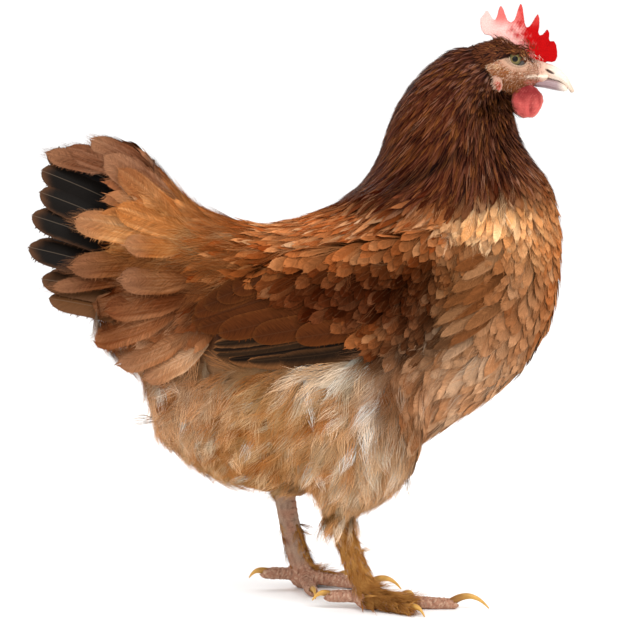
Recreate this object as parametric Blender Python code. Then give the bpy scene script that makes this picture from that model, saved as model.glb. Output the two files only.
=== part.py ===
"""A laying hen standing in profile, life size, as closed solids: one for each part of the bird with a name.

Metres, +Z up. The bird faces +X and its right side is at -Y. The origin lies on the floor under the middle
of the bounding box. The tables below are in millimetres, which MM turns into metres.

Most parts are lofts: a table of stations gives a few cross-sections, each an oval with its own heights and
width, and a smooth curve runs through them. A part is let into its neighbour by cutting the neighbour with
the same part grown by GAP, so that two parts never touch.
"""

import math
from collections import namedtuple

import bmesh
import bpy
import numpy as np

MM = 0.001
GAP = 0.3  # the space between two neighbours
SIDES = {"right": -1.0, "left": 1.0}  # the sign of y

# Oval: the (x, z) of its two ends, its half width across, and how far up the widest level is (0 to 1).
Oval = namedtuple("Oval", "top bottom half_width waist", defaults=(0.5,))

# Trunk, from the rump to the breast. Both ends are domes.
TRUNK = (
    Oval((-91, 293), (-93, 105), 42),
    Oval((-60, 279), (-64, 85), 60),
    Oval((-24, 272), (-26, 74), 70),
    Oval((18, 284), (12, 74), 74, 0.52),
    Oval((62, 304), (50, 86), 75, 0.56),
    Oval((104, 320), (80, 108), 71, 0.6),
    Oval((138, 320), (104, 123), 60, 0.58),
    Oval((158, 314), (128, 139), 53, 0.56),
    Oval((172, 300), (154, 158), 42, 0.54),
    Oval((181, 284), (173, 187), 27, 0.52),
)
RUMP_DOME = 26
BREAST_DOME = 9

# Neck, from behind the face down to the edge of the cape of hackles.
NECK = (
    Oval((119, 401), (145.5, 361), 16.5),
    Oval((103, 395.5), (152.5, 351), 20.5),
    Oval((82, 378), (154.5, 341), 26.5),
    Oval((65, 352), (159, 329), 34),
    Oval((54, 319), (168.5, 314), 45.5),
    Oval((42, 300), (180, 298), 54.5),
    Oval((29, 291), (184.5, 281), 60.5),
)

# Head, from inside the neck to the root of the bill.
HEAD = (
    Oval((112, 397), (136, 361), 14.5),
    Oval((130, 402.5), (142, 361), 15.8),
    Oval((143, 406.5), (150, 362.5), 16),
    Oval((153.5, 399.5), (158, 367), 14.8, 0.48),
    Oval((164, 391), (166, 370), 11.2, 0.5),
    Oval((174, 386.5), (172, 372.5), 7.6, 0.5),
)
HEAD_DOME = 2.5

EYE_CENTRE = (153.6, 8.8, 389.5)
EYE_RADIUS = 7.0

# Bill: the upper half hooks down over the tip of the lower one.
BILL_UPPER = (
    Oval((167, 388), (164, 375.9), 7.6),
    Oval((177, 386.3), (175, 375.3), 6.4),
    Oval((184, 383), (182.5, 374), 5.0),
    Oval((189.7, 378), (188.3, 371.2), 3.4),
    Oval((194.0, 371), (192.6, 367), 1.7),
)
BILL_UPPER_DOME = 1.6
BILL_LOWER = (
    Oval((163, 375.2), (165, 370), 6.4),
    Oval((173, 374.6), (173, 368.9), 5.4),
    Oval((182, 373.1), (181.5, 367.1), 4.0),
    Oval((188, 370.2), (187.3, 366.2), 2.5),
)
BILL_LOWER_DOME = 2.6

# Comb: (x, z) of the points and of the notches between them, from the back lobe to the front one.
COMB_BACK = ((128.9, 408.2), (127.6, 417.5))
COMB_POINTS = (
    (132.6, 424.2), (142.2, 428.0), (156.8, 430.2), (168.9, 422.4), (175.6, 411.0), (179.7, 403.0),
)
COMB_NOTCHES = (
    (137.2, 418.6), (149.6, 415.6), (160.4, 412.0), (169.3, 406.6), (176.8, 402.0), (180.6, 396.4),
)
COMB_FRONT = ((182.7, 394.0), (182.2, 389.2), (179.4, 387.0))
COMB_ROOT = ((166.0, 381.0), (150.0, 389.0), (133.0, 397.0))  # hidden inside the head
COMB_TIP_DROP = 1.2  # how far below a point its two blunt corners lie
COMB_TIP_SPREAD = 0.6  # and how far they lie to each side of it
COMB_THICKNESS = (4.4, 1.6)  # at the head and at the tips
COMB_LEVELS = (392.0, 430.0)  # the heights that those two thicknesses belong to

WATTLE_CENTRE = (160.6, 6.9, 359.3)
WATTLE_RADII = (11.2, 2.5, 12.2)
EARLOBE_CENTRE = (138.2, 15.6, 371.0)
EARLOBE_RADII = (4.6, 2.0, 6.6)

# Wing, folded, from the shoulder to the tip: the oval's ends are the wing's two long edges.
WING = (
    Oval((111, 266), (116, 238), 7.5),
    Oval((97, 275), (106, 217), 11.5),
    Oval((60, 268), (74, 191), 13.0),
    Oval((12, 262), (26, 175), 12.5),
    Oval((-28, 248), (-18, 168), 11.0),
    Oval((-58, 222), (-50, 168), 7.5),
)
WING_OUT = (60, 65, 69.5, 70, 66, 58)  # y of the middle of each oval
WING_DOMES = (6, 13)

# Tail: a wedge of coverts, widest low down, with seven pairs of quills spread over it like a tent.
TAIL_WEDGE = (
    Oval((-72, 281), (-72, 148), 40, 0.35),
    Oval((-96, 307), (-98, 152), 42, 0.32),
    Oval((-118, 330), (-124, 164), 39, 0.3),
    Oval((-140, 338), (-143, 179), 32, 0.3),
    Oval((-158, 335), (-157, 204), 22, 0.35),
)
TAIL_WEDGE_DOME = 8
QUILL_TIPS = (
    (-182.5, 324.5), (-185.5, 311.0), (-186.4, 296.0), (-191.6, 279.5), (-193.8, 258.0), (-182.0, 238.0),
    (-178.0, 224.5),
)
QUILL_ROOT_X = -84
QUILL_ROOT_Z = (272, 196)  # of the top and the bottom pair
QUILL_OUT_AT_TIP = (3.5, 36.0)  # y of the tips of the top and the bottom pair
QUILL_OUT_AT_ROOT = (3.0, 24.0)
QUILL_HALF_WIDTHS = (5.0, 10.5, 13.0, 13.0, 9.5)
QUILL_HALF_THICKNESS = 1.5
QUILL_DOME = 6
TENT_LEAN = (78, 42)  # degrees between a quill's flat and the level, for the top and the bottom pair

# Legs. Each leg's line runs from the hip through the hock to the joint where the toes part.
STANCE = 44  # y of each leg
HIP = {"right": (44, 172), "left": (22, 172)}
HOCK = {"right": (26.5, 66), "left": (-12.5, 66)}
TOE_JOINT = {"right": (47, 10), "left": (1, 10)}

# Thigh in its feathers: height, reach forward and back of the leg's line, and half width.
THIGH = (
    (176, 50, 52, 24.0),
    (134, 53, 54, 29.5),
    (106, 50, 44, 26.0),
    (86, 42, 29, 19.5),
    (72, 24, 15, 12.5),
    (65, 11, 10.5, 9.5),
)
THIGH_DOMES = (14, 2)

SHANK_RADII = ((8.6, 7.0), (7.8, 6.0), (7.8, 6.0), (8.4, 6.8))  # fore and aft, and across
SHANK_TOP = 16  # how far the shank runs up into the thigh
SHANK_TOP_LEAN = 0.6  # how much of the shank's lean it keeps up there
SHANK_BOW = 1.5  # how far back the shank bows at half its height
SHANK_FOOT = 4  # how far above the toe joint it ends

# Foot. Toe: bearing in degrees from straight ahead, positive to the left, length, and height of its tip.
Toe = namedtuple("Toe", "bearing length tip_height claw_length claw_rise")
TOES = {
    "right": (
        Toe(176, 29, 8.8, 12, 0.2),
        Toe(46, 39, 3.6, 13, 0.8),
        Toe(0, 62, 3.6, 24, 3.2),
        Toe(-40, 39, 3.6, 13, 0.8),
    ),
    "left": (
        Toe(188, 30, 11.5, 12, 0.2),
        Toe(-80, 40, 3.6, 12, 0.8),
        Toe(-6, 53, 3.6, 20, 2.4),
        Toe(42, 39, 3.6, 13, 0.8),
    ),
}
TOE_RADII = (6.2, 5.0, 4.6, 4.7, 3.9)
TOE_SHARES = (0.05, 0.3, 0.62, 1)  # how far along the toe its knuckles are
TOE_DROPS = (0, 0.5, 0.86, 1)  # how much of its way down it has come at each
TOE_DOME = 3.2
BALL_RADII = (12.0, 10.0, 8.6)
BALL_HEIGHT = 7.6
CLAW_RADII = (2.7, 2.5, 1.9, 1.1, 0.35)
CLAW_SHARES = (0, 0.32, 0.6, 0.87, 1.1)  # how far along the claw each of those is
CLAW_ROOT = (3, 0.8)  # how deep in the toe the claw starts, and how far above its middle
CLAW_TIP_HEIGHT = 0.7  # of a claw that reaches the floor
HALLUX_FALL = 3.4  # how far the claw of a raised hind toe comes down
STANDING_TIP = 5  # a toe whose tip is lower than this stands on the floor
FLOOR_BLOCK = (300, 160, 20)
FLOOR_BLOCK_X = 30

COLOURS = {
    "chestnut": (0.155, 0.042, 0.014),
    "mahogany": (0.085, 0.022, 0.010),
    "rufous": (0.260, 0.085, 0.026),
    "buff": (0.520, 0.270, 0.105),
    "tail black": (0.030, 0.020, 0.017),
    "face": (0.460, 0.210, 0.150),
    "comb red": (0.640, 0.030, 0.022),
    "wattle red": (0.440, 0.045, 0.050),
    "horn": (0.720, 0.560, 0.440),
    "claw horn": (0.480, 0.290, 0.090),
    "leg skin": (0.420, 0.270, 0.215),
    "iris": (0.300, 0.210, 0.060),
}


# ---- tools ----------------------------------------------------------------------------------------------


def clear_scene():
    for thing in list(bpy.data.objects):
        bpy.data.objects.remove(thing, do_unlink=True)


def new_collection(name):
    collection = bpy.data.collections.new(name)
    bpy.context.scene.collection.children.link(collection)
    return collection


def new_material(name, colour, roughness):
    material = bpy.data.materials.new(name)
    material.use_nodes = True
    shader = material.node_tree.nodes["Principled BSDF"]
    shader.inputs["Base Color"].default_value = (*colour, 1)
    shader.inputs["Roughness"].default_value = roughness
    shader.inputs["Metallic"].default_value = 0
    return material


def smooth(rows, count):
    """count rows of numbers read off a smooth curve through the given rows, evenly spaced along it."""
    rows = np.asarray(rows, float)
    along = np.concatenate([[0], np.cumsum(np.linalg.norm(np.diff(rows, axis=0), axis=1))])
    slope = np.gradient(rows, along, axis=0)
    at = np.linspace(0, along[-1], count)
    i = np.clip(np.searchsorted(along, at, side="right") - 1, 0, len(along) - 2)
    span = (along[i + 1] - along[i])[:, None]
    s = (at - along[i])[:, None] / span
    start = (1 + 2 * s) * (1 - s) ** 2 * rows[i] + s * (1 - s) ** 2 * span * slope[i]
    end = s * s * (3 - 2 * s) * rows[i + 1] + s * s * (s - 1) * span * slope[i + 1]
    return start + end


def unit(vectors):
    return vectors / np.linalg.norm(vectors, axis=-1, keepdims=True)


class Sections:
    """A row of ovals: middle, and the arms from it to the oval's upper end, lower end and side."""

    def __init__(self, middle, up, down, side, ahead):
        self.middle, self.up, self.down, self.side, self.ahead = middle, up, down, side, ahead

    def grown(self, by):
        """The same sections with every arm longer by that much."""
        def longer(arms):
            return arms + by * unit(arms)
        return Sections(self.middle, longer(self.up), longer(self.down), longer(self.side), self.ahead)

    def domed(self, start, end, rings=3):
        """The row with a dome on each end: its ovals shrink as a cosine while they move out as a sine."""
        angles = np.arange(1, rings + 1) / (rings + 0.35) * math.pi / 2
        shrink, shift = np.cos(angles)[:, None], np.sin(angles)[:, None]
        parts = []
        for end_index, depth, order in ((0, -start, -1), (-1, end, 1)):
            row = [
                self.middle[end_index] + shift * depth * self.ahead[end_index],
                shrink * self.up[end_index],
                shrink * self.down[end_index],
                shrink * self.side[end_index],
                np.repeat(self.ahead[end_index][None], rings, axis=0),
            ]
            parts.append([array[::order] for array in row])
        whole = (self.middle, self.up, self.down, self.side, self.ahead)
        return Sections(*(np.concatenate([parts[0][k], whole[k], parts[1][k]]) for k in range(5)))


def oval_sections(stations, count, out=0.0):
    """Sections through a table of Oval rows, out being the y of their middles: one number, or one a row."""
    outs = np.broadcast_to(np.asarray(out, float), len(stations))
    rows = smooth(
        [(*s.top, *s.bottom, s.half_width, s.waist, y) for s, y in zip(stations, outs)], count
    )
    top = np.stack([rows[:, 0], rows[:, 6], rows[:, 1]], axis=1)
    bottom = np.stack([rows[:, 2], rows[:, 6], rows[:, 3]], axis=1)
    middle = bottom + rows[:, 5:6] * (top - bottom)
    side = rows[:, 4:5] * np.array([0.0, 1.0, 0.0])
    travel = np.gradient(middle, axis=0)
    ahead = unit(np.cross(side, top - bottom))
    ahead *= np.sign(np.sum(ahead * travel, axis=1, keepdims=True))
    return Sections(middle, top - middle, bottom - middle, side, ahead)


def tube_sections(path, radii, across, count):
    """Sections square to a path. radii holds (along across, square to it), across is a rough direction."""
    radii = np.asarray(radii, float).reshape(len(radii), -1)
    knots = np.linspace(0, 1, len(radii))
    middle = smooth(path, count)
    at = np.linspace(0, 1, count)
    wide = np.interp(at, knots, radii[:, 0])[:, None]
    high = np.interp(at, knots, radii[:, -1])[:, None]
    ahead = unit(np.gradient(middle, axis=0))
    up = unit(np.cross(ahead, np.asarray(across, float)))
    side = unit(np.cross(up, ahead))
    return Sections(middle, high * up, -high * up, wide * side, ahead)


def loft(name, sections, around, collection, material=None):
    """A closed mesh over a row of sections, with a fan on each end."""
    angle = np.arange(around) / around * 2 * math.pi
    level, across = np.cos(angle)[None, :, None], np.sin(angle)[None, :, None]
    arm = np.where(level > 0, sections.up[:, None], -sections.down[:, None])
    points = sections.middle[:, None] + level * arm + across * sections.side[:, None]
    count = len(points)
    tips = sections.middle[[0, -1]]
    vertices = np.concatenate([points.reshape(-1, 3), tips]) * MM
    faces = []
    for ring in range(count - 1):
        for k in range(around):
            a, b = ring * around + k, ring * around + (k + 1) % around
            faces += [(a, b, b + around), (a, b + around, a + around)]
    first, last = count * around, count * around + 1
    for k in range(around):
        faces.append((first, (k + 1) % around, k))
        faces.append((last, (count - 1) * around + k, (count - 1) * around + (k + 1) % around))
    mesh = bpy.data.meshes.new(name)
    mesh.from_pydata(vertices.tolist(), [], faces)
    return finished(name, mesh, collection, material)


def finished(name, mesh, collection, material):
    """An object of this mesh with its faces turned outward, shaded smooth."""
    shape = bmesh.new()
    shape.from_mesh(mesh)
    bmesh.ops.recalc_face_normals(shape, faces=shape.faces)
    shape.to_mesh(mesh)
    shape.free()
    mesh.shade_smooth()
    mesh.set_sharp_from_angle(angle=math.radians(50))
    thing = bpy.data.objects.new(name, mesh)
    collection.objects.link(thing)
    if material:
        mesh.materials.append(material)
    else:
        thing.hide_render = True
        thing.display_type = "WIRE"
    return thing


def ellipsoid(name, centre, radii, collection, material=None, segments=16, rings=10):
    """A ball stretched to three radii."""
    shape = bmesh.new()
    bmesh.ops.create_uvsphere(shape, u_segments=segments, v_segments=rings, radius=1)
    bmesh.ops.scale(shape, vec=[r * MM for r in radii], verts=shape.verts)
    bmesh.ops.translate(shape, vec=[c * MM for c in centre], verts=shape.verts)
    mesh = bpy.data.meshes.new(name)
    shape.to_mesh(mesh)
    shape.free()
    return finished(name, mesh, collection, material)


def combine(body, other, operation, solver="EXACT"):
    """Joins other to body, or cuts it away."""
    modifier = body.modifiers.new(f"{operation.lower()} {other.name}", "BOOLEAN")
    modifier.operation = operation
    modifier.object = other
    modifier.solver = solver


# ---- the parts ------------------------------------------------------------------------------------------


def trunk_shape(name, grow, where, material=None):
    sections = oval_sections(TRUNK, 14).grown(grow).domed(RUMP_DOME + grow, BREAST_DOME + grow, 3)
    return loft(name, sections, 22, where, material)


def neck_shape(name, grow, where, material=None):
    sections = oval_sections(NECK, 10).grown(grow).domed(2 + grow, 2 + grow, 1)
    return loft(name, sections, 22, where, material)


def head_shape(name, grow, where, material=None):
    sections = oval_sections(HEAD, 8).grown(grow).domed(4, HEAD_DOME + grow, 2)
    return loft(name, sections, 16, where, material)


def thigh_shape(name, side, grow, where, material=None):
    """The thigh's ovals lie level: their two ends are its front and its back."""
    (hip_x, hip_z), (hock_x, hock_z) = HIP[side], HOCK[side]
    stations = []
    for height, forward, back, half_width in THIGH:
        line = hock_x + (hip_x - hock_x) * (height - hock_z) / (hip_z - hock_z)
        stations.append(Oval((line + forward, height), (line - back, height), half_width))
    sections = oval_sections(stations, 7, SIDES[side] * STANCE).grown(grow)
    return loft(name, sections.domed(*THIGH_DOMES, 2), 12, where, material)


def on_leg(joints, side):
    """The place of one of the leg's joints."""
    x, z = joints[side]
    return np.array([x, SIDES[side] * STANCE, z])


def shank_shape(name, side, grow, where, material=None):
    top, foot = on_leg(HOCK, side), on_leg(TOE_JOINT, side)
    lean = (top - foot) / (top[2] - foot[2])
    hidden_end = top + SHANK_TOP * lean * (SHANK_TOP_LEAN, 1, 1)
    path = [hidden_end, top, (top + foot) / 2 - (SHANK_BOW, 0, 0), foot + SHANK_FOOT * lean]
    sections = tube_sections(path, SHANK_RADII, (1, 0, 0), 5).grown(grow)
    return loft(name, sections.domed(2, 2 + grow, 1), 10, where, material)


def toe_path(side, toe):
    """Points down a toe's middle, from the joint to the tip, with the knuckles a little raised."""
    bearing = math.radians(toe.bearing)
    ahead = np.array([math.cos(bearing), math.sin(bearing), 0])
    joint = on_leg(TOE_JOINT, side)
    share = np.array(TOE_SHARES)[:, None]
    drop = np.array(TOE_DROPS)[:, None] * np.array([0, 0, toe.tip_height - joint[2]])
    return joint + share * toe.length * ahead + drop, ahead


def claw_shape(name, side, toe, grow, where, material=None):
    """A horn that leaves the top of the toe's end, rises a little and comes down to the floor."""
    path, ahead = toe_path(side, toe)
    inset, lift = CLAW_ROOT
    root = path[-1] + (0, 0, lift)
    fall = root[2] - CLAW_TIP_HEIGHT if toe.tip_height < STANDING_TIP else HALLUX_FALL
    heights = (0, 0.5 * toe.claw_rise + 0.4, toe.claw_rise, 0.1 * toe.claw_rise - 0.35 * fall, -fall)
    points = [
        root + (share * toe.claw_length - inset) * ahead + (0, 0, height)
        for share, height in zip(CLAW_SHARES, heights)
    ]
    sections = tube_sections(points, CLAW_RADII, np.cross((0, 0, 1), ahead), 5).grown(grow)
    return loft(name, sections.domed(0.6, 0.3 + grow, 1), 5, where, material)


def make_foot(side, parts, cutters, skin, horn):
    """Ball and four toes in one piece, flat below where it stands, with a claw let into each toe."""
    y = SIDES[side] * STANCE
    centre = (TOE_JOINT[side][0] + 1.5, y, BALL_HEIGHT)
    foot = ellipsoid(f"foot_{side}", centre, BALL_RADII, parts, skin, 10, 6)
    for number, toe in enumerate(TOES[side], 1):
        path, ahead = toe_path(side, toe)
        sections = tube_sections(path, [(r,) for r in TOE_RADII], np.cross((0, 0, 1), ahead), 5)
        piece = loft(f"toe_{side}_{number}", sections.domed(1, TOE_DOME, 1), 8, cutters)
        combine(foot, piece, "UNION")
    for number, toe in enumerate(TOES[side], 1):
        claw_shape(f"claw_{side}_{number}", side, toe, 0, parts, horn)
        # From here on the exact solver leaves open edges, round the thin roots of the claws.
        claw_room = claw_shape(f"claw_room_{side}_{number}", side, toe, GAP, cutters)
        combine(foot, claw_room, "DIFFERENCE", "MANIFOLD")
    combine(foot, shank_shape(f"shank_room_foot_{side}", side, GAP, cutters), "DIFFERENCE", "MANIFOLD")
    combine(foot, floor_block(side, cutters), "DIFFERENCE", "MANIFOLD")


def floor_block(side, cutters):
    """The floor under one foot, as a block whose top is at zero."""
    shape = bmesh.new()
    bmesh.ops.create_cube(shape, size=1)
    middle = (FLOOR_BLOCK_X, SIDES[side] * STANCE, -FLOOR_BLOCK[2] / 2)
    bmesh.ops.scale(shape, vec=[length * MM for length in FLOOR_BLOCK], verts=shape.verts)
    bmesh.ops.translate(shape, vec=[distance * MM for distance in middle], verts=shape.verts)
    mesh = bpy.data.meshes.new("floor")
    shape.to_mesh(mesh)
    shape.free()
    return finished(f"floor_{side}", mesh, cutters, None)


def make_comb(parts, cutters, red):
    """A flat outline with six points, thick at the head and thin at the tips."""
    outline = list(COMB_BACK)
    for point, notch in zip(COMB_POINTS, COMB_NOTCHES):
        below = outline[-1]
        for nearer in (below, notch):
            aim = unit(np.subtract(nearer, point))
            spread = math.copysign(COMB_TIP_SPREAD, nearer[0] - point[0])
            outline.append(tuple(np.array(point) + COMB_TIP_DROP * aim + (spread, 0)))
        outline.append(notch)
    outline += [*COMB_FRONT, *COMB_ROOT]
    curve = bpy.data.curves.new("comb outline", "CURVE")
    curve.dimensions = "2D"
    curve.fill_mode = "BOTH"
    curve.extrude = 0.5 * MM
    spline = curve.splines.new("POLY")
    spline.points.add(len(outline) - 1)
    for knot, (x, z) in zip(spline.points, outline):
        knot.co = (x * MM, z * MM, 0, 1)
    spline.use_cyclic_u = True
    flat = bpy.data.objects.new("comb outline", curve)
    cutters.objects.link(flat)
    graph = bpy.context.evaluated_depsgraph_get()
    mesh = bpy.data.meshes.new_from_object(flat.evaluated_get(graph))
    bpy.data.objects.remove(flat, do_unlink=True)
    shape = bmesh.new()
    shape.from_mesh(mesh)
    bmesh.ops.remove_doubles(shape, verts=shape.verts, dist=0.00001)
    for vertex in shape.verts:
        x, height, half = vertex.co
        share = np.interp(height / MM, COMB_LEVELS, (0, 1))
        thickness = COMB_THICKNESS[0] + share * (COMB_THICKNESS[1] - COMB_THICKNESS[0])
        vertex.co = (x, -half * thickness, height)
    shape.to_mesh(mesh)
    shape.free()
    comb = finished("comb", mesh, parts, red)
    combine(comb, head_shape("head_room_comb", GAP, cutters), "DIFFERENCE")
    # The comb's front lobe only grazes the bill's ridge, where the exact solver finds nothing left.
    bill_room = bill_shape("bill_room_comb", BILL_UPPER, BILL_UPPER_DOME, GAP, cutters)
    combine(comb, bill_room, "DIFFERENCE", "MANIFOLD")


def bill_shape(name, stations, dome, grow, where, material=None):
    sections = oval_sections(stations, 6).grown(grow).domed(1, dome + grow, 1)
    return loft(name, sections, 10, where, material)


def mirrored(point, side):
    return (point[0], SIDES[side] * point[1], point[2])


def make_head(parts, cutters, materials):
    head = head_shape("head", 0, parts, materials["face"])
    combine(head, neck_shape("neck_room_head", GAP, cutters), "DIFFERENCE")
    make_comb(parts, cutters, materials["comb red"])
    halves = ((BILL_UPPER, BILL_UPPER_DOME), (BILL_LOWER, BILL_LOWER_DOME))
    for name, (stations, dome) in zip(("bill_upper", "bill_lower"), halves):
        bill = bill_shape(name, stations, dome, 0, parts, materials["horn"])
        combine(bill, head_shape(f"head_room_{name}", GAP, cutters), "DIFFERENCE")
        if name == "bill_lower":
            room = bill_shape("bill_room_lower", BILL_UPPER, BILL_UPPER_DOME, GAP, cutters)
            combine(bill, room, "DIFFERENCE")
    red = materials["wattle red"]
    for side in SIDES:
        eye_centre = mirrored(EYE_CENTRE, side)
        ellipsoid(f"eye_{side}", eye_centre, [EYE_RADIUS] * 3, parts, materials["iris"], 12, 7)
        room = ellipsoid(f"eye_room_{side}", eye_centre, [EYE_RADIUS + GAP] * 3, cutters, None, 12, 7)
        combine(head, room, "DIFFERENCE")
        wattle_centre = mirrored(WATTLE_CENTRE, side)
        wattle = ellipsoid(f"wattle_{side}", wattle_centre, WATTLE_RADII, parts, red, 12, 8)
        combine(wattle, head_shape(f"head_room_wattle_{side}", GAP, cutters), "DIFFERENCE")
        for number, (stations, dome) in enumerate(halves):
            room = bill_shape(f"bill_room_wattle_{side}_{number}", stations, dome, GAP, cutters)
            combine(wattle, room, "DIFFERENCE")
        lobe_centre = mirrored(EARLOBE_CENTRE, side)
        lobe = ellipsoid(f"earlobe_{side}", lobe_centre, EARLOBE_RADII, parts, red, 8, 6)
        combine(lobe, head_shape(f"head_room_lobe_{side}", GAP, cutters), "DIFFERENCE")
        combine(lobe, neck_shape(f"neck_room_lobe_{side}", GAP, cutters), "DIFFERENCE")


def make_wing(side, parts, cutters, chestnut):
    out = SIDES[side] * np.array(WING_OUT)
    sections = oval_sections(WING, 9, out).domed(*WING_DOMES, 2)
    wing = loft(f"wing_{side}", sections, 12, parts, chestnut)
    combine(wing, trunk_shape(f"trunk_room_wing_{side}", GAP, cutters), "DIFFERENCE")
    combine(wing, neck_shape(f"neck_room_wing_{side}", GAP, cutters), "DIFFERENCE")
    combine(wing, thigh_shape(f"thigh_room_wing_{side}", side, GAP, cutters), "DIFFERENCE")


def make_tail(parts, cutters, black):
    """The wedge of coverts, joined with two fans of quills."""
    wedge = oval_sections(TAIL_WEDGE, 7).domed(2, TAIL_WEDGE_DOME, 2)
    tail = loft("tail", wedge, 16, parts, black)
    for side, sign in SIDES.items():
        for number, (tip_x, tip_z) in enumerate(QUILL_TIPS):
            share = number / (len(QUILL_TIPS) - 1)
            tip = np.array([tip_x + QUILL_DOME, sign * np.interp(share, (0, 1), QUILL_OUT_AT_TIP), tip_z])
            root = np.array([
                QUILL_ROOT_X,
                sign * np.interp(share, (0, 1), QUILL_OUT_AT_ROOT),
                np.interp(share, (0, 1), QUILL_ROOT_Z),
            ])
            lean = math.radians(np.interp(share, (0, 1), TENT_LEAN))
            across = (0, sign * math.cos(lean), -math.sin(lean))
            path = [root, root + 0.5 * (tip - root) + (0, 0, 2), tip]
            radii = [(half_width, QUILL_HALF_THICKNESS) for half_width in QUILL_HALF_WIDTHS]
            sections = tube_sections(path, radii, across, 4).domed(2, QUILL_DOME, 1)
            combine(tail, loft(f"quill_{side}_{number}", sections, 6, cutters), "UNION")
    combine(tail, trunk_shape("trunk_room_tail", GAP, cutters), "DIFFERENCE")


def make_leg(side, parts, cutters, materials):
    thigh = thigh_shape(f"thigh_{side}", side, 0, parts, materials["buff"])
    combine(thigh, shank_shape(f"shank_room_thigh_{side}", side, GAP, cutters), "DIFFERENCE")
    shank_shape(f"shank_{side}", side, 0, parts, materials["leg skin"])
    make_foot(side, parts, cutters, materials["leg skin"], materials["claw horn"])


def main():
    clear_scene()
    parts, cutters = new_collection("hen"), new_collection("cutters")
    materials = {name: new_material(name, colour, 0.6) for name, colour in COLOURS.items()}
    trunk = trunk_shape("trunk", 0, parts, materials["rufous"])
    combine(trunk, neck_shape("neck_room_trunk", GAP, cutters), "DIFFERENCE")
    neck_shape("neck", 0, parts, materials["mahogany"])
    make_head(parts, cutters, materials)
    make_tail(parts, cutters, materials["tail black"])
    for side in SIDES:
        combine(trunk, thigh_shape(f"thigh_room_trunk_{side}", side, GAP, cutters), "DIFFERENCE")
        make_wing(side, parts, cutters, materials["chestnut"])
        make_leg(side, parts, cutters, materials)


main()
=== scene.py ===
import math

import bmesh
import bpy
import numpy as np
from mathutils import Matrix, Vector
from mathutils.bvhtree import BVHTree
from mathutils.kdtree import KDTree


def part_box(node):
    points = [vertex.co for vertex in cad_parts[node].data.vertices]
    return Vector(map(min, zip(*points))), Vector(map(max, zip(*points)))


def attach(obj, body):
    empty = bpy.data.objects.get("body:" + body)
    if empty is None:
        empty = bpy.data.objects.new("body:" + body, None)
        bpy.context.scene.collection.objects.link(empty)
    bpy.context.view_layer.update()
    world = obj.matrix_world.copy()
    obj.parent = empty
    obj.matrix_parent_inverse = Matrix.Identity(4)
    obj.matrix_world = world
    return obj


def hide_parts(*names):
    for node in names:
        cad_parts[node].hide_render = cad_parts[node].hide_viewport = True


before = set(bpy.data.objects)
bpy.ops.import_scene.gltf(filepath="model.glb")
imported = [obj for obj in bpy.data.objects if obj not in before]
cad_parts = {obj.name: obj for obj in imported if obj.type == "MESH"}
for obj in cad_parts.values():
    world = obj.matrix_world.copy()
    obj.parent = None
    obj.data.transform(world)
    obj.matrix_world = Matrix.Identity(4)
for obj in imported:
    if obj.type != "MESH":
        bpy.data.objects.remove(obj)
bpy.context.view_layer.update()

MM = 0.001


# ---- Studio ----
# A plain pale floor under a white sky, with two large soft boxes in front of the bird and a small
# one behind. The camera stands two metres off her right side, a little above her back.

VIEW_DISTANCE = 2.0
VIEW_ELEVATION = math.radians(4.15)
VIEW_CENTRE = (0.0076, 0.0, 0.2077)
LENS, SENSOR = 160.0, 36.0
FLOOR_RADIUS, FLOOR_CORNERS = 6.0, 64
WHITE = (1.0, 1.0, 1.0, 1.0)
SKY_STRENGTH = 1.06


def node(tree, kind, inputs=(), **settings):
    """Adds a shader node, sets its properties, and fills its inputs from values or other nodes' sockets."""
    made = tree.nodes.new(kind)
    for name, value in settings.items():
        setattr(made, name, value)
    for name, value in dict(inputs).items():
        if isinstance(value, bpy.types.NodeSocket):
            tree.links.new(value, made.inputs[name])
        else:
            made.inputs[name].default_value = value
    return made


def new_finish(name, **values):
    """A material with one Principled shader whose sockets hold these values. Returns the material, its
    tree and the shader."""
    finish = bpy.data.materials.new(name)
    finish.use_nodes = True
    shader = finish.node_tree.nodes["Principled BSDF"]
    for socket, value in values.items():
        shader.inputs[socket.replace("_", " ")].default_value = value
    return finish, finish.node_tree, shader


def new_piece(name, points, faces, finish):
    """A mesh object of points (n, 3) and faces, a list of index arrays of one width each, shaded smooth."""
    mesh = bpy.data.meshes.new(name)
    mesh.vertices.add(len(points))
    mesh.vertices.foreach_set("co", np.asarray(points, np.float32).ravel())
    corners = np.concatenate([block.ravel() for block in faces]).astype(np.int32)
    sizes = np.concatenate([np.full(len(block), block.shape[1], np.int32) for block in faces])
    mesh.loops.add(len(corners))
    mesh.loops.foreach_set("vertex_index", corners)
    mesh.polygons.add(len(sizes))
    mesh.polygons.foreach_set("loop_start", np.concatenate([[0], np.cumsum(sizes)[:-1]]).astype(np.int32))
    mesh.update(calc_edges=True)
    mesh.shade_smooth()
    mesh.materials.append(finish)
    piece = bpy.data.objects.new(name, mesh)
    bpy.context.scene.collection.objects.link(piece)
    return piece


floor_finish, _, _ = new_finish("pale_floor", Base_Color=(0.97, 0.97, 0.97, 1), Roughness=0.9)
ring = np.linspace(0, 2 * math.pi, FLOOR_CORNERS, endpoint=False)
floor_points = np.stack([FLOOR_RADIUS * np.cos(ring), FLOOR_RADIUS * np.sin(ring), 0 * ring], 1)
floor = new_piece("floor", floor_points, [np.arange(FLOOR_CORNERS)[None]], floor_finish)

sky = bpy.data.worlds.new("white_sky")
sky.use_nodes = True
background = sky.node_tree.nodes["Background"]
background.inputs["Color"].default_value = WHITE
background.inputs["Strength"].default_value = SKY_STRENGTH
bpy.context.scene.world = sky
bpy.context.scene.view_settings.view_transform = "Standard"

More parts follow.
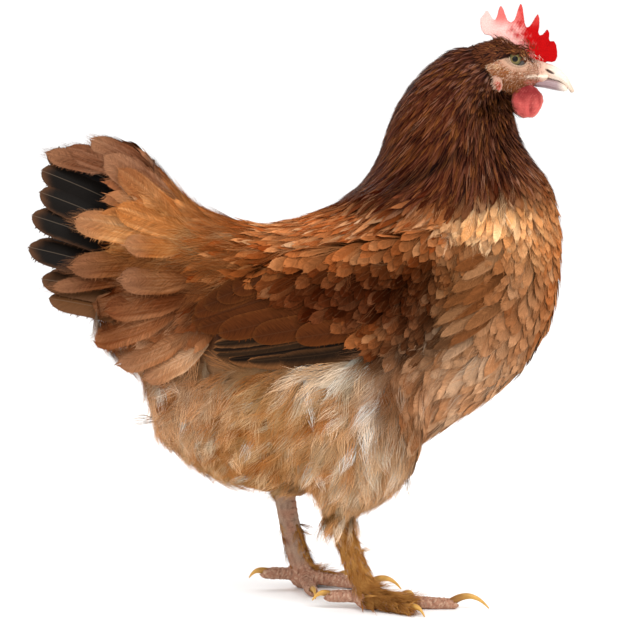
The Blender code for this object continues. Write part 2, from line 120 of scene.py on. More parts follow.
# Name, place, side and power.
SOFT_BOXES = (
    ("key_light", (1.3, -1.7, 1.9), 1.3, 38.0),
    ("fill_light", (-1.5, -1.8, 1.2), 1.5, 12.0),
    ("back_light", (-0.9, 1.6, 1.8), 0.9, 14.0),
)


def aimed(thing, place, target):
    """Puts a light or camera at place with its -Z axis towards target and its top up."""
    thing.location = place
    thing.rotation_euler = (Vector(target) - Vector(place)).to_track_quat("-Z", "Y").to_euler()
    bpy.context.scene.collection.objects.link(thing)


for name, place, size, power in SOFT_BOXES:
    lamp = bpy.data.lights.new(name, "AREA")
    lamp.size = size
    lamp.energy = power
    aimed(bpy.data.objects.new(name, lamp), place, VIEW_CENTRE)

camera_data = bpy.data.cameras.new("camera")
camera_data.lens = LENS
camera_data.sensor_width = SENSOR
camera = bpy.data.objects.new("camera", camera_data)
camera_place = (
    VIEW_CENTRE[0],
    -VIEW_DISTANCE * math.cos(VIEW_ELEVATION),
    VIEW_CENTRE[2] + VIEW_DISTANCE * math.sin(VIEW_ELEVATION),
)
aimed(camera, camera_place, VIEW_CENTRE)
bpy.context.scene.camera = camera


# ---- Body form ----
# The body under the plumage, as one closed surface over the flesh. The skin is made from it, sunk by
# the depth of the coat, and each feather is laid along it so that the tips give the bird's outline.

SIDES = ("right", "left")
RIGHT, LEFT = -1, 1
WELD = 0.001 * MM  # corners of a CAD node closer than this are one


def both(*names):
    """The names with each side's ending."""
    return [f"{name}_{side}" for name in names for side in SIDES]


def cast_from(name, nodes, voxel, smoothing=0, cut=None, extra=()):
    """One closed mesh around CAD nodes and any extra meshes: copies of them joined and welded, cut at
    x = cut if that is given, remeshed in voxels of one size, and smoothed that many times."""
    form = bmesh.new()
    for mesh in [*(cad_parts[node_name].data for node_name in nodes), *extra]:
        form.from_mesh(mesh)
    bmesh.ops.remove_doubles(form, verts=form.verts, dist=WELD)
    if cut is not None:
        cut_edges = bmesh.ops.bisect_plane(
            form,
            geom=[*form.verts, *form.edges, *form.faces],
            plane_co=(cut, 0, 0),
            plane_no=(-1, 0, 0),
            clear_outer=True,
        )["geom_cut"]
        bmesh.ops.holes_fill(form, edges=[e for e in cut_edges if isinstance(e, bmesh.types.BMEdge)])
    mesh = bpy.data.meshes.new(name)
    form.to_mesh(mesh)
    form.free()
    holder = bpy.data.objects.new(name, mesh)
    bpy.context.scene.collection.objects.link(holder)
    remesh = holder.modifiers.new("voxels", "REMESH")
    remesh.mode = "VOXEL"
    remesh.voxel_size = voxel
    if smoothing:
        smooth = holder.modifiers.new("smooth", "SMOOTH")
        smooth.iterations = smoothing
    made = bpy.data.meshes.new_from_object(holder.evaluated_get(bpy.context.evaluated_depsgraph_get()))
    bpy.data.objects.remove(holder)
    return made


def threes(items, name, kind=np.float32):
    """One property of a mesh's items, with three numbers for each, as an array."""
    values = np.empty(len(items) * 3, kind)
    items.foreach_get(name, values)
    return values.reshape(-1, 3)


def points_of(mesh):
    """The mesh's vertices as an array."""
    return threes(mesh.vertices, "co").astype(float)


def normals_of(mesh):
    """The mesh's vertex normals as an array."""
    return threes(mesh.vertex_normals, "vector").astype(float)


def triangles_of(mesh):
    """The mesh's triangles as an array of vertex indices."""
    mesh.calc_loop_triangles()
    return threes(mesh.loop_triangles, "vertices", np.int32)


def unit(vectors):
    """Each vector over its own length."""
    return vectors / np.maximum(np.linalg.norm(vectors, axis=-1, keepdims=True), 1e-12)


def ramp(low, high, value):
    """0 below low, 1 above high, and the smooth cubic step between."""
    share = np.clip((value - low) / (high - low), 0, 1)
    return share * share * (3 - 2 * share)


DRAWS_PER_ROOT = 5  # places tried for each root that has room


class Ground:
    """A closed surface that feathers lie on: its nearest points, smooth normals and even spreads of roots."""

    def __init__(self, points, normals, triangles):
        self.points, self.normals, self.triangles = points, normals, triangles
        self.tree = BVHTree.FromPolygons(points.tolist(), triangles.tolist())

    def nearest(self, places):
        """The nearest points of the surface, and its normals there, blended from each triangle's corners."""
        hits = [self.tree.find_nearest(place) for place in places.tolist()]
        found = np.array([hit[0] for hit in hits])
        triangle = self.triangles[[hit[2] for hit in hits]]
        a, b, c = np.moveaxis(self.points[triangle], 1, 0)
        across = np.cross(b - a, c - a)
        size = np.maximum((across * across).sum(-1), 1e-20)
        second = (np.cross(found - a, c - a) * across).sum(-1) / size
        third = (np.cross(b - a, found - a) * across).sum(-1) / size
        weights = np.stack([1 - second - third, second, third], 1)
        return found, unit((self.normals[triangle] * weights[..., None]).sum(1))

    def distance(self, places):
        """How far each place is from the surface."""
        return np.array([self.tree.find_nearest(place)[3] for place in places.tolist()])

    def roots(self, spacing, wanted, seed):
        """Evenly spread places: drawn by area in a seeded order, each kept if none kept so far is within
        its own spacing. spacing and wanted are functions of the places."""
        draws = np.random.default_rng(seed)
        a, b, c = np.moveaxis(self.points[self.triangles], 1, 0)
        inside = wanted((a + b + c) / 3)
        area = 0.5 * np.linalg.norm(np.cross(b - a, c - a), axis=-1) * inside
        least = spacing((a + b + c)[inside] / 3).min()
        count = int(DRAWS_PER_ROOT * area.sum() / least**2)
        face = draws.choice(len(area), count, p=area / area.sum())
        s, t = draws.random((2, count))
        s, t = np.where(s + t > 1, 1 - s, s), np.where(s + t > 1, 1 - t, t)
        place = a[face] + s[:, None] * (b - a)[face] + t[:, None] * (c - a)[face]
        place = place[wanted(place)]
        reach = spacing(place)
        near = KDTree(len(place))
        for index, point in enumerate(place.tolist()):
            near.insert(point, index)
        near.balance()
        free = np.ones(len(place), bool)
        kept = []
        for index, point in enumerate(place.tolist()):
            if free[index]:
                kept.append(index)
                free[[hit[1] for hit in near.find_range(point, reach[index])]] = False
        return place[kept]


def ground_of(mesh):
    """A Ground on a mesh's surface."""
    return Ground(points_of(mesh), normals_of(mesh), triangles_of(mesh))


FORM_VOXEL = 2.6 * MM
FORM_SMOOTHING, WING_SMOOTHING = 6, 2
TAIL_CUT = -150 * MM  # only the tail's quills and coverts reach behind this
torso = ["trunk", "neck", "head", *both("thigh"), "tail"]
body = ground_of(cast_from("body_form", torso, FORM_VOXEL, FORM_SMOOTHING, TAIL_CUT))
winged_torso = [*torso, *both("wing")]
winged = ground_of(cast_from("winged_form", winged_torso, FORM_VOXEL, FORM_SMOOTHING, TAIL_CUT))
wings_only = ground_of(cast_from("wing_form", both("wing"), FORM_VOXEL, WING_SMOOTHING))


# ---- Lie of the plumage ----
# On a live hen the feathers grow in tracts and all point away from the bill: back over the crown and
# down the neck, down the breast, back along the saddle and fanwise over the root of the tail.

# At (x, z) in mm: the way the feathers point in degrees, 180 being straight back and 270 straight
# down, then a feather's length and width in mm.
LIE = np.array([
    (166, 388, 190, 4, 1.6), (150, 406, 188, 6, 2.0), (128, 408, 200, 9, 2.4),
    (132, 385, 205, 8, 2.4), (146, 366, 235, 6, 2.0), (154, 352, 275, 9, 2.6),
    (100, 395, 220, 18, 3.4), (82, 373, 228, 30, 3.6), (64, 345, 232, 38, 4.0),
    (50, 318, 226, 42, 4.6), (30, 298, 211, 44, 5.4), (115, 365, 240, 26, 3.2),
    (84, 332, 229, 40, 4.2), (104, 336, 253, 38, 4.2), (80, 308, 226, 42, 5.0),
    (102, 312, 262, 40, 5.0), (60, 296, 217, 42, 5.6), (125, 335, 257, 36, 4.2),
    (118, 300, 262, 36, 5.6), (148, 330, 274, 28, 4.0), (150, 300, 270, 28, 6.4),
    (166, 322, 290, 22, 4.4), (178, 300, 288, 20, 6.0), (185, 270, 270, 20, 7.6),
    (183, 240, 264, 24, 9.0), (172, 205, 254, 28, 10.5), (152, 172, 236, 32, 12.0),
    (126, 140, 226, 36, 13.0), (150, 262, 256, 24, 9.0), (150, 222, 248, 28, 10.5),
    (126, 270, 240, 26, 9.0), (130, 240, 216, 42, 13.0), (126, 204, 218, 46, 13.0),
    (100, 262, 232, 20, 6.0), (98, 225, 224, 22, 6.5), (100, 178, 216, 44, 13.0),
    (80, 250, 236, 22, 6.5), (60, 248, 230, 24, 7.5), (64, 218, 232, 25, 8.0),
    (40, 238, 224, 28, 9.0), (34, 212, 218, 34, 10.0), (12, 248, 211, 33, 9.0),
    (8, 220, 213, 38, 11.0), (-18, 240, 206, 40, 11.0), (-34, 214, 206, 44, 13.0),
    (-52, 200, 206, 44, 13.0), (24, 190, 216, 40, 13.0), (98, 160, 224, 38, 13.0),
    (72, 150, 236, 38, 13.0), (84, 118, 248, 38, 13.0), (98, 284, 236, 26, 8.0),
    (76, 274, 228, 28, 8.0), (50, 276, 214, 32, 8.0), (20, 272, 203, 36, 8.5),
    (-10, 270, 195, 38, 9.0), (-40, 272, 183, 40, 10.0), (-60, 282, 160, 44, 12.0),
    (-82, 300, 145, 48, 14.0), (-112, 328, 146, 50, 17.0), (-60, 260, 184, 44, 12.0),
    (-84, 266, 178, 52, 16.0), (-104, 300, 164, 54, 19.0), (-132, 318, 164, 52, 20.0),
    (-150, 335, 172, 44, 18.0), (-110, 270, 178, 58, 20.0), (-140, 272, 180, 56, 20.0),
    (-100, 240, 192, 56, 20.0), (-135, 240, 192, 54, 20.0), (-100, 212, 206, 54, 20.0),
    (-134, 208, 200, 48, 20.0), (-70, 232, 200, 50, 16.0), (-104, 184, 214, 44, 17.0),
    (-88, 160, 230, 36, 13.0), (-76, 130, 236, 32, 10.0), (-44, 105, 240, 32, 10.0),
    (0, 86, 240, 30, 10.0), (-40, 150, 226, 34, 10.0), (0, 146, 232, 34, 10.0),
    (30, 104, 254, 32, 10.0), (34, 152, 230, 34, 10.0), (62, 132, 262, 34, 10.0),
    (60, 92, 268, 30, 9.0), (24, 70, 266, 22, 7.0),
])
LIE_REACH = 15 * MM


def chart_weights(places):
    """How much each row of the chart counts at each place, a Gaussian of the distance in x and z."""
    gap = places[..., None, [0, 2]] - LIE[:, :2] * MM
    share = np.exp(-0.5 * (gap * gap).sum(-1) / LIE_REACH**2) + 1e-12
    return share / share.sum(-1, keepdims=True)


def lie(places):
    """The way the feathers point at each place, in the bird's upright plane."""
    turn = np.radians(LIE[:, 2])
    return unit(chart_weights(places) @ np.stack([np.cos(turn), 0 * turn, np.sin(turn)], 1))


def feather_length(places):
    """The length of a feather rooted at each place."""
    return chart_weights(places) @ LIE[:, 3] * MM


def feather_width(places):
    """The width of a feather rooted at each place."""
    return chart_weights(places) @ LIE[:, 4] * MM


LEAVE = 0.5  # a feather leaves the ground that falls away by this share of its step
BEND = 0.4  # or that turns away from its heading by more than this sine in one step
STIFFNESS = 0.35  # share of each step's direction that comes from the step before


def combed(ground, roots, length, steps, turn, way):
    """Middle lines of feathers: from each root, equal steps along the lie, turned by an angle about the
    surface's normal and mixed with the step before, each brought back to the ground unless it has left
    it by more than a share of the step, as at the tail's end.
    Returns the lines and the normals along them, (feathers, steps + 1, 3)."""
    place, normal = ground.nearest(roots)
    line, up = [place], [normal]
    heading = None
    for _ in range(steps):
        wanted = way(place)
        wanted = wanted * np.cos(turn)[:, None] + np.cross(normal, wanted) * np.sin(turn)[:, None]
        if heading is not None:
            wanted = (1 - STIFFNESS) * wanted + STIFFNESS * heading
        heading = unit(wanted - (wanted * normal).sum(-1, keepdims=True) * normal)
        step = (length / steps)[:, None]
        ahead = place + heading * step
        on_ground, ground_normal = ground.nearest(ahead)
        free = np.linalg.norm(on_ground - ahead, axis=-1, keepdims=True) > LEAVE * step
        free = free | ((ground_normal * heading).sum(-1, keepdims=True) > BEND)
        place, normal = np.where(free, ahead, on_ground), np.where(free, normal, ground_normal)
        line.append(place)
        up.append(normal)
    return np.stack(line, 1), np.stack(up, 1)


def rounded(shoulder=0.62, power=2.2, stem=0.3):
    """An outline, which gives the share of the half width at each share of the length: a stem that
    widens, and from the shoulder on a round end, the square root of 1 less a power of the rest."""

    def outline(along):
        swell = np.clip(along / stem, 0.02, 1) ** 0.7
        end = np.clip((along - shoulder) / (1 - shoulder), 0, 1)
        return swell * np.sqrt(np.clip(1 - end**power, 0.004, 1))

    return outline


WIDEST = 0.38  # the share of its length at which a pointed feather is widest


def pointed(along):
    """The outline of a narrow feather: it widens by a power up to its widest place, then tapers to a
    point."""
    swell = np.clip(along / WIDEST, 0.05, 1) ** 0.6
    return swell * (1 - 0.94 * np.clip((along - WIDEST) / (1 - WIDEST), 0, 1) ** 1.5)


class Plumes:
    """Feathers of one tract as arrays. A point of a feather is found from its share of the length
    (along, 0 to 1) and its share of the half width (across, -1 to 1)."""

    def __init__(self, line, up, half_width, outline, sink, lift, camber, sweep=0.5, lopsided=0.0):
        self.line, self.up = line, unit(up)
        self.ahead = unit(np.gradient(line, axis=1))
        self.side = unit(np.cross(self.up, self.ahead))
        self.half_width, self.outline = half_width[:, None], outline
        self.sink, self.lift = sink[:, None], lift[:, None]
        self.camber, self.sweep, self.lopsided = camber, sweep, np.reshape(lopsided, (-1, 1))
        self.length = np.linalg.norm(np.diff(line, axis=1), axis=-1).sum(1)
        self.points, self.faces, self.along, self.across, self.owner = [], [], [], [], []
        self.count = 0

    def read(self, rows, along):
        """A value kept at the line's points, read at shares of its length."""
        last = rows.shape[1] - 1
        at = np.clip(along, 0, 1) * last
        low = np.minimum(at.astype(int), last - 1)
        share = (at - low)[..., None]
        first = np.take_along_axis(rows, low[..., None], 1)
        return first + share * (np.take_along_axis(rows, low[..., None] + 1, 1) - first)

    def at(self, along, across, raise_by=0.0):
        """Points: on the line, out to the side by the outline, bent down towards the edges, and sunk at
        the root by sink but standing proud at the tip by lift."""
        out = across * (1 + self.lopsided * np.sign(across)) * self.outline(np.clip(along, 0, 1))
        out = out * self.half_width
        share = np.clip(along, 0, 1)
        height = self.lift * share**2 - self.sink * (1 - share) ** 1.2 + raise_by
        height = height - self.camber * np.abs(across) * np.abs(out)
        beyond = np.maximum(along - 1, 0) * self.length[:, None] + self.sweep * np.abs(out) * (1 - share)
        return (
            self.read(self.line, along)
            + self.read(self.side, along) * out[..., None]
            + self.read(self.up, along) * height[..., None]
            + self.read(self.ahead, along) * beyond[..., None]
        )

    def add(self, points, faces, along, across):
        """Keeps points (feathers, n, 3) and faces (m, corners) that are the same for every feather."""
        feathers, size = points.shape[:2]
        offset = self.count + np.arange(feathers)[:, None, None] * size
        self.faces.append((faces[None] + offset).reshape(-1, faces.shape[1]))
        self.points.append(points.reshape(-1, 3))
        self.along.append(np.broadcast_to(along, (feathers, size)).ravel())
        self.across.append(np.broadcast_to(across, (feathers, size)).ravel())
        self.owner.append(np.repeat(np.arange(feathers), size))
        self.count += feathers * size

    def add_vanes(self, draws, rows, columns, ragged):
        """The vane: a grid of rows along and columns across, closer near the tip, its tip row ragged."""
        feathers = len(self.line)
        along = 1 - (1 - np.linspace(0, 1, rows)) ** 1.35
        across = np.linspace(-1, 1, columns)
        along, across = [grid.ravel()[None] for grid in np.meshgrid(along, across, indexing="ij")]
        wear = draws.normal(0, ragged, (feathers, columns))
        shift = np.tile(wear, (1, rows)) * along**3
        points = self.at(np.broadcast_to(along, (feathers, rows * columns)) + shift, across)
        corner = (np.arange(rows - 1)[:, None] * columns + np.arange(columns - 1)).ravel()
        faces = np.stack([corner, corner + columns, corner + columns + 1, corner + 1], 1)
        self.add(points, faces[:, ::-1], along, across)

    def add_fringe(self, draws, spikes, start, reach, width=0.014):
        """Loose barbs: thin triangles that stand out from the edge, turning forwards towards the tip."""
        feathers = len(self.line)
        side = np.where(np.arange(spikes) % 2, 1.0, -1.0)
        base = start + (1 - start) * (np.arange(spikes) + draws.random((feathers, spikes))) / spikes
        base = np.minimum(base, 0.985)
        forward = reach * (0.4 + 1.2 * draws.random((feathers, spikes)) ** 1.5)
        out = 0.85 + 0.45 * draws.random((feathers, spikes))
        points = np.stack([
            self.at(base - width, 0.8 * side),
            self.at(np.minimum(base + width, 1), 0.8 * side),
            self.at(base + forward, out * side, draws.normal(0, 0.15, (feathers, spikes)) * MM),
        ], 2).reshape(feathers, -1, 3)
        faces = np.arange(3 * spikes).reshape(-1, 3)
        faces = np.where(side[:, None] > 0, faces, faces[:, ::-1])
        along = np.stack([base, base, base + forward], 2).reshape(feathers, -1)
        across = np.repeat(side[None], feathers, 0)[..., None] * np.array([0.8, 0.8, 1.0])
        self.add(points, faces, along, across.reshape(feathers, -1))

    def add_strands(self, draws, strands, joints, width, spread, shortest=0.55, shoulder=1.0):
        """Down: narrow ribbons that start together and spread over the tract, each with its own length,
        place across and slight wave, thinning to a hair. Outer ones end sooner, down to shoulder."""
        feathers = len(self.line)
        slot = (np.arange(strands) + draws.random((feathers, strands))) / strands * 2 - 1
        reach = shortest + (1.15 - shortest) * draws.random((feathers, strands))
        reach = reach * (shoulder + (1 - shoulder) * np.sqrt(1 - slot**2))
        start = 0.15 * draws.random((feathers, strands))
        rise = draws.normal(0, 1, (feathers, strands))
        wave = draws.normal(0, 0.12, (feathers, strands))
        step = np.linspace(0, 1, joints)
        along = start[..., None] + (reach - start)[..., None] * step
        middle = slot[..., None] * (0.45 + spread * step) + wave[..., None] * np.sin(3 * math.pi * step)
        half = width / self.half_width[..., None] * (1 - 0.85 * step**1.5)
        height = (rise[..., None] * 0.5 * step) * MM
        pair = np.stack([middle - half, middle + half], -1)
        flat = (feathers, -1)
        along = np.repeat(along[..., None], 2, -1).reshape(flat)
        across = pair.reshape(flat)
        points = self.at(along, across, np.repeat(height[..., None], 2, -1).reshape(flat))
        first = (np.arange(strands)[:, None] * joints + np.arange(joints - 1)).ravel() * 2
        faces = np.stack([first, first + 1, first + 3, first + 2], 1)
        self.add(points, faces, along, np.clip(across, -1, 1))

    def gathered(self):
        """All points, and each one's along, across and feather."""
        return [np.concatenate(part) for part in (self.points, self.along, self.across, self.owner)]


PATCH = 0.003  # side of a feather's own patch on the map that its colours are kept on


def unrolled(places, foot, head):
    """Map places of roots: the share of the way from foot to head, and the angle round that line."""
    foot, head = np.array(foot) * MM, np.array(head) * MM
    axis = unit(head - foot)
    along = (places - foot) @ axis / np.linalg.norm(head - foot)
    side = np.array([0.0, 1.0, 0.0])
    outward = places - foot - ((places - foot) @ axis)[:, None] * axis
    angle = np.arctan2(outward @ side, outward @ np.cross(side, axis))
    return np.stack([np.clip(along, 0.005, 0.99), 0.5 + 0.49 * angle / math.pi], 1)


def set_map(mesh, name, values):
    """A UV map from one pair of values for each vertex."""
    corner = np.empty(len(mesh.loops), np.int32)
    mesh.loops.foreach_get("vertex_index", corner)
    layer = mesh.uv_layers.new(name=name)
    layer.uv.foreach_set("vector", values[corner].astype(np.float32).ravel())


def set_tone(mesh, values):
    """The colour attribute that the finishes read, one linear colour for each vertex."""
    tone = mesh.attributes.new("tone", "FLOAT_COLOR", "POINT")
    rgba = np.concatenate([values, np.ones((len(values), 1))], 1)
    tone.data.foreach_set("color", rgba.astype(np.float32).ravel())


OWN_PLACE = 0.75  # a feather's colour is this much its own and the rest follows each point of it


def coat(name, plumes, colours, finish, slot, axis, draws, patch_at=None, patch_size=PATCH, shadow=None):
    """Turns plumes into a piece. colours gives each point's linear colour from its place, along, across
    and its feather's own random numbers, and shadow a factor for it. The vane map holds centimetres across
    and along the feather."""
    points, along, across, owner = plumes.gathered()
    luck = draws.random((len(plumes.line), 4))
    home = plumes.line[:, plumes.line.shape[1] // 2] + draws.normal(0, 3 * MM, (len(luck), 3))
    home = OWN_PLACE * home[owner] + (1 - OWN_PLACE) * points
    piece = new_piece(name, points, plumes.faces, finish)
    tone = colours(home, np.clip(along, 0, 1.1), across, luck[owner])
    set_tone(piece.data, tone if shadow is None else tone * shadow(points))
    width, length = plumes.half_width[owner, 0], plumes.length[owner]
    out = across * plumes.outline(np.clip(along, 0, 1)) * width
    vane = np.stack([out, along * length], 1) / (10 * MM) + np.floor(luck[owner, :1] * 40) * (0, 7.3)
    set_map(piece.data, "vane", vane)
    root = unrolled(plumes.line[:, 0], *axis) if patch_at is None else patch_at
    inside = np.stack([0.5 + 0.49 * np.clip(across, -1, 1), np.clip(along, 0, 1.15) / 1.15], 1)
    set_map(piece.data, "OFBake", root[owner] + patch_size * inside)
    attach(piece, "root")
    return piece


def linear(code):
    """The linear colour of a hex code."""
    share = np.array([int(code[i : i + 2], 16) for i in (0, 2, 4)]) / 255
    return np.where(share > 0.04045, ((share + 0.055) / 1.055) ** 2.4, share / 12.92)


def mixed(first, second, share):
    """From the first colour to the second by a share for each point."""
    return first + (second - first) * np.asarray(share)[..., None]


def layered(tone, *layers):
    """A colour with others laid over it in turn, each a colour and its share for each point."""
    for colour, share in layers:
        tone = mixed(tone, colour, share)
    return tone


def maths(tree, operation, *values):
    """The output of a Math node on up to three values or sockets."""
    return node(tree, "ShaderNodeMath", dict(enumerate(values)), operation=operation).outputs[0]


def barb_group():
    """Barbs of a vane: fine streaks that leave the shaft at a slant, from noise stretched along them, and
    a pale line down the shaft. Reads the vane map. Gives Shade, about 1, Shaft, and Height."""
    tree = bpy.data.node_groups.new("barbs", "ShaderNodeTree")
    for name, kind in (("Pitch", "INPUT"), ("Contrast", "INPUT"), ("Shaft Width", "INPUT"),
                       ("Shade", "OUTPUT"), ("Shaft", "OUTPUT"), ("Height", "OUTPUT")):
        tree.interface.new_socket(name=name, in_out=kind, socket_type="NodeSocketFloat")
    given = node(tree, "NodeGroupInput")
    vane = node(tree, "ShaderNodeUVMap", uv_map="vane")
    parts = node(tree, "ShaderNodeSeparateXYZ", {"Vector": vane.outputs[0]})
    across, along = parts.outputs["X"], parts.outputs["Y"]
    side = maths(tree, "ABSOLUTE", across)
    slant = maths(tree, "MULTIPLY_ADD", side, -0.9, along)
    pitch = maths(tree, "MULTIPLY", slant, given.outputs["Pitch"])
    lengthwise = maths(tree, "MULTIPLY", across, 1.6)
    streak_at = node(tree, "ShaderNodeCombineXYZ", {"X": pitch, "Y": lengthwise}).outputs[0]
    streak = node(tree, "ShaderNodeTexNoise",
                  {"Vector": streak_at, "Scale": 1.0, "Detail": 3.0, "Roughness": 0.6})
    centred = maths(tree, "SUBTRACT", streak.outputs["Fac"], 0.5)
    shade = maths(tree, "MULTIPLY_ADD", centred, given.outputs["Contrast"], 1.0)
    shaft = node(tree, "ShaderNodeMapRange", {"Value": side, "From Min": 0.0, "To Min": 1.0, "To Max": 0.0,
                                              "From Max": given.outputs["Shaft Width"]})
    out = node(tree, "NodeGroupOutput")
    for name, source in (("Shade", shade), ("Shaft", shaft.outputs[0]), ("Height", streak.outputs[0])):
        tree.links.new(source, out.inputs[name])
    return tree


BARBS = barb_group()


def toned(tree, shade):
    """The tone attribute's colour times a shade."""
    tone = node(tree, "ShaderNodeAttribute", attribute_name="tone")
    inputs = {0: tone.outputs["Color"], "Scale": shade}
    return node(tree, "ShaderNodeVectorMath", inputs, operation="SCALE").outputs[0]


def dress(tree, shader, colour, height, strength, distance):
    """Gives the shader its colour and a bump over a height."""
    bump = node(tree, "ShaderNodeBump", {"Strength": strength, "Distance": distance, "Height": height})
    tree.links.new(colour, shader.inputs["Base Color"])
    tree.links.new(bump.outputs[0], shader.inputs["Normal"])


def feather_finish(name, gloss, pitch=14.0, contrast=0.9, shaft_width=0.03, shaft_colour=(1, 1, 1),
                   shaft_mix=0.0, roughness=0.5):
    """Keratin vanes: the tone of the feather times its barbs' streaks, and a paler shaft."""
    finish, tree, shader = new_finish(name, Roughness=roughness, Specular_IOR_Level=gloss)
    settings = {"Pitch": pitch, "Contrast": contrast, "Shaft Width": shaft_width}
    barbs = tree.nodes.new("ShaderNodeGroup")
    barbs.node_tree = BARBS
    for socket, value in settings.items():
        barbs.inputs[socket].default_value = value
    mix = node(tree, "ShaderNodeMix", data_type="RGBA")
    amount = maths(tree, "MULTIPLY", barbs.outputs["Shaft"], shaft_mix)
    tree.links.new(amount, mix.inputs[0])
    tree.links.new(toned(tree, barbs.outputs["Shade"]), mix.inputs[6])
    mix.inputs[7].default_value = (*shaft_colour, 1)
    dress(tree, shader, mix.outputs[2], barbs.outputs["Height"], 0.5, 0.2 * MM)
    return finish


# ---- Skin ----
# One skin over all the flesh. It is bare on the face, comb, wattles, earlobes, shanks and toes, where
# it has its lids, wrinkles and scales. Elsewhere it is buff and lies under the coat by its depth, with the
# coat's markings painted on it darker as shade in the gaps between the feathers.

COAT_DEPTH, HEAD_COAT_DEPTH = 6.5 * MM, 3.2 * MM
HEAD_VOXEL, BODY_VOXEL, LEG_VOXEL = 0.5 * MM, 3.2 * MM, 0.95 * MM
COMB_VOXEL, FLESH_VOXEL = 0.8 * MM, 1.0 * MM
SKIN_CUT = -112 * MM  # the skin ends here, inside the root of the tail
EYE_CENTRE = np.array([153.6, 8.8, 389.5])
EYE_RADIUS = 7.0
OPENING = np.array([152.6, 389.1])  # x and z of the middle between the lids
OPENING_HALF = (7.0, 4.8)  # half its length and height
OPENING_TILT = math.radians(-16)
OVERHANG = (3.8, 0.6, 0.7)  # the brow cuts the opening at the first height, falling in front of the second
BARE_FACE = ((151.5, 377.5), (22.0, 17.0))  # middle and half sizes of the bare oval, x and z
LORE_X = 162.0  # all of the face is bare in front of this
# The feathers' lower edge over the eye: its top, where that is, and how it falls in front and behind.
BROW = (394.9, 153.5, 0.75, 0.45)
GAPE = (376.6, 161, 0.05)  # the mouth's corner: the line's height at an x, and its slope
WATTLE_MIDDLE, WATTLE_HALF = (160.6, 359.3), (11.2, 12.2)
LOBE_MIDDLE, LOBE_HALF = (138, 370), 3.6

FACE_PINK, FACE_RUST = linear("a8765f"), linear("774424")
COMB_RED, COMB_PALE, COMB_TIP = linear("ab0305"), linear("ecb6ae"), linear("c8443f")
WATTLE_RED, WATTLE_SHADE, WATTLE_RIM = linear("bb524d"), linear("6d171b"), linear("d9796e")
LID_PALE, LID_SHADE, BROW_SHADOW = linear("cfb398"), linear("3a261f"), linear("41200f")
LOBE_RED, LOBE_PALE = linear("a8453b"), linear("b58a77")
GAPE_PALE, LORE_PALE = linear("f4dfca"), linear("c9a08e")
NOSTRIL_SHADE, HORN_ROOT = linear("42241a"), linear("d9b8a2")
LEG_SKIN, LEG_DARK, LEG_ROSE, LEG_TAN = [linear(code) for code in ("a08470", "5c3426", "a5755e", "cfb298")]
UNDER_DOWN = linear("8a5f3c")


def in_mm(places):
    """x, the distance out from the middle, and z, in mm."""
    return places[:, 0] / MM, np.abs(places[:, 1]) / MM, places[:, 2] / MM


def band(middle, width, value):
    """1 at the middle and less on both sides: e to minus the square of the gap over the width."""
    return np.exp(-(((value - middle) / width) ** 2))


def eye_frame(points):
    """How far out from the opening's middle each point is, as a share of the opening's ellipse cut by
    the brow, and its gap from the middle in mm along and across the opening."""
    cos, sin = math.cos(OPENING_TILT), math.sin(OPENING_TILT)
    gap = (points[:, [0, 2]] / MM - OPENING) @ np.array([[cos, sin], [-sin, cos]]).T
    share = np.hypot(gap[:, 0] / OPENING_HALF[0], gap[:, 1] / OPENING_HALF[1])
    brow = OVERHANG[0] - OVERHANG[2] * np.maximum(gap[:, 0] - OVERHANG[1], 0)
    return np.maximum(share, 1 + (gap[:, 1] - brow) / OPENING_HALF[1]), gap


def face_share(points):
    """1 on the bare face, 0 where the small feathers grow, by the bare oval, the lores and the brow."""
    x, _, z = in_mm(points)
    (middle_x, middle_z), (half_x, half_z) = BARE_FACE
    gap = np.hypot((x - middle_x) / half_x, (z - middle_z) / half_z)
    behind = (1 - ramp(0.93, 1.07, gap)) * (z < 400)
    top, top_x, fall, fall_behind = BROW
    brow = top - fall * np.clip(x - top_x, 0, 11) - fall_behind * np.clip(top_x - x, 0, 24)
    below_brow = 1 - ramp(brow - 0.7, brow + 0.7, z)
    lores = ramp(LORE_X, LORE_X + 2, x) * ramp(363, 366, z)
    front = ramp(LORE_X + 3, LORE_X + 6, x)
    return np.maximum(np.maximum(behind, lores) * below_brow, lores * front)


NOSTRIL, NOSTRIL_TILT, NOSTRIL_HALF = (176.8, 380.4), math.radians(-27), (4.3, 1.0)


def nostril(x, z):
    """1 inside the nostril's slit and 0 outside it, by the distance from its middle as a share of it."""
    x, z = x - NOSTRIL[0], z - NOSTRIL[1]
    cos, sin = math.cos(NOSTRIL_TILT), math.sin(NOSTRIL_TILT)
    return 1 - ramp(0.6, 1.15, np.hypot((x * cos + z * sin) / NOSTRIL_HALF[0],
                                        (z * cos - x * sin) / NOSTRIL_HALF[1]))


def ripple(points, size, seed):
    """Smooth noise without a grid: the mean of nine sine waves of about that length in seeded directions."""
    draws = np.random.default_rng(seed)
    ways = unit(draws.normal(size=(9, 3))) * 2 * math.pi / (size * draws.uniform(0.7, 1.5, (9, 1)))
    return np.sin(points @ ways.T + draws.uniform(0, 2 * math.pi, 9)).mean(1) * 1.5


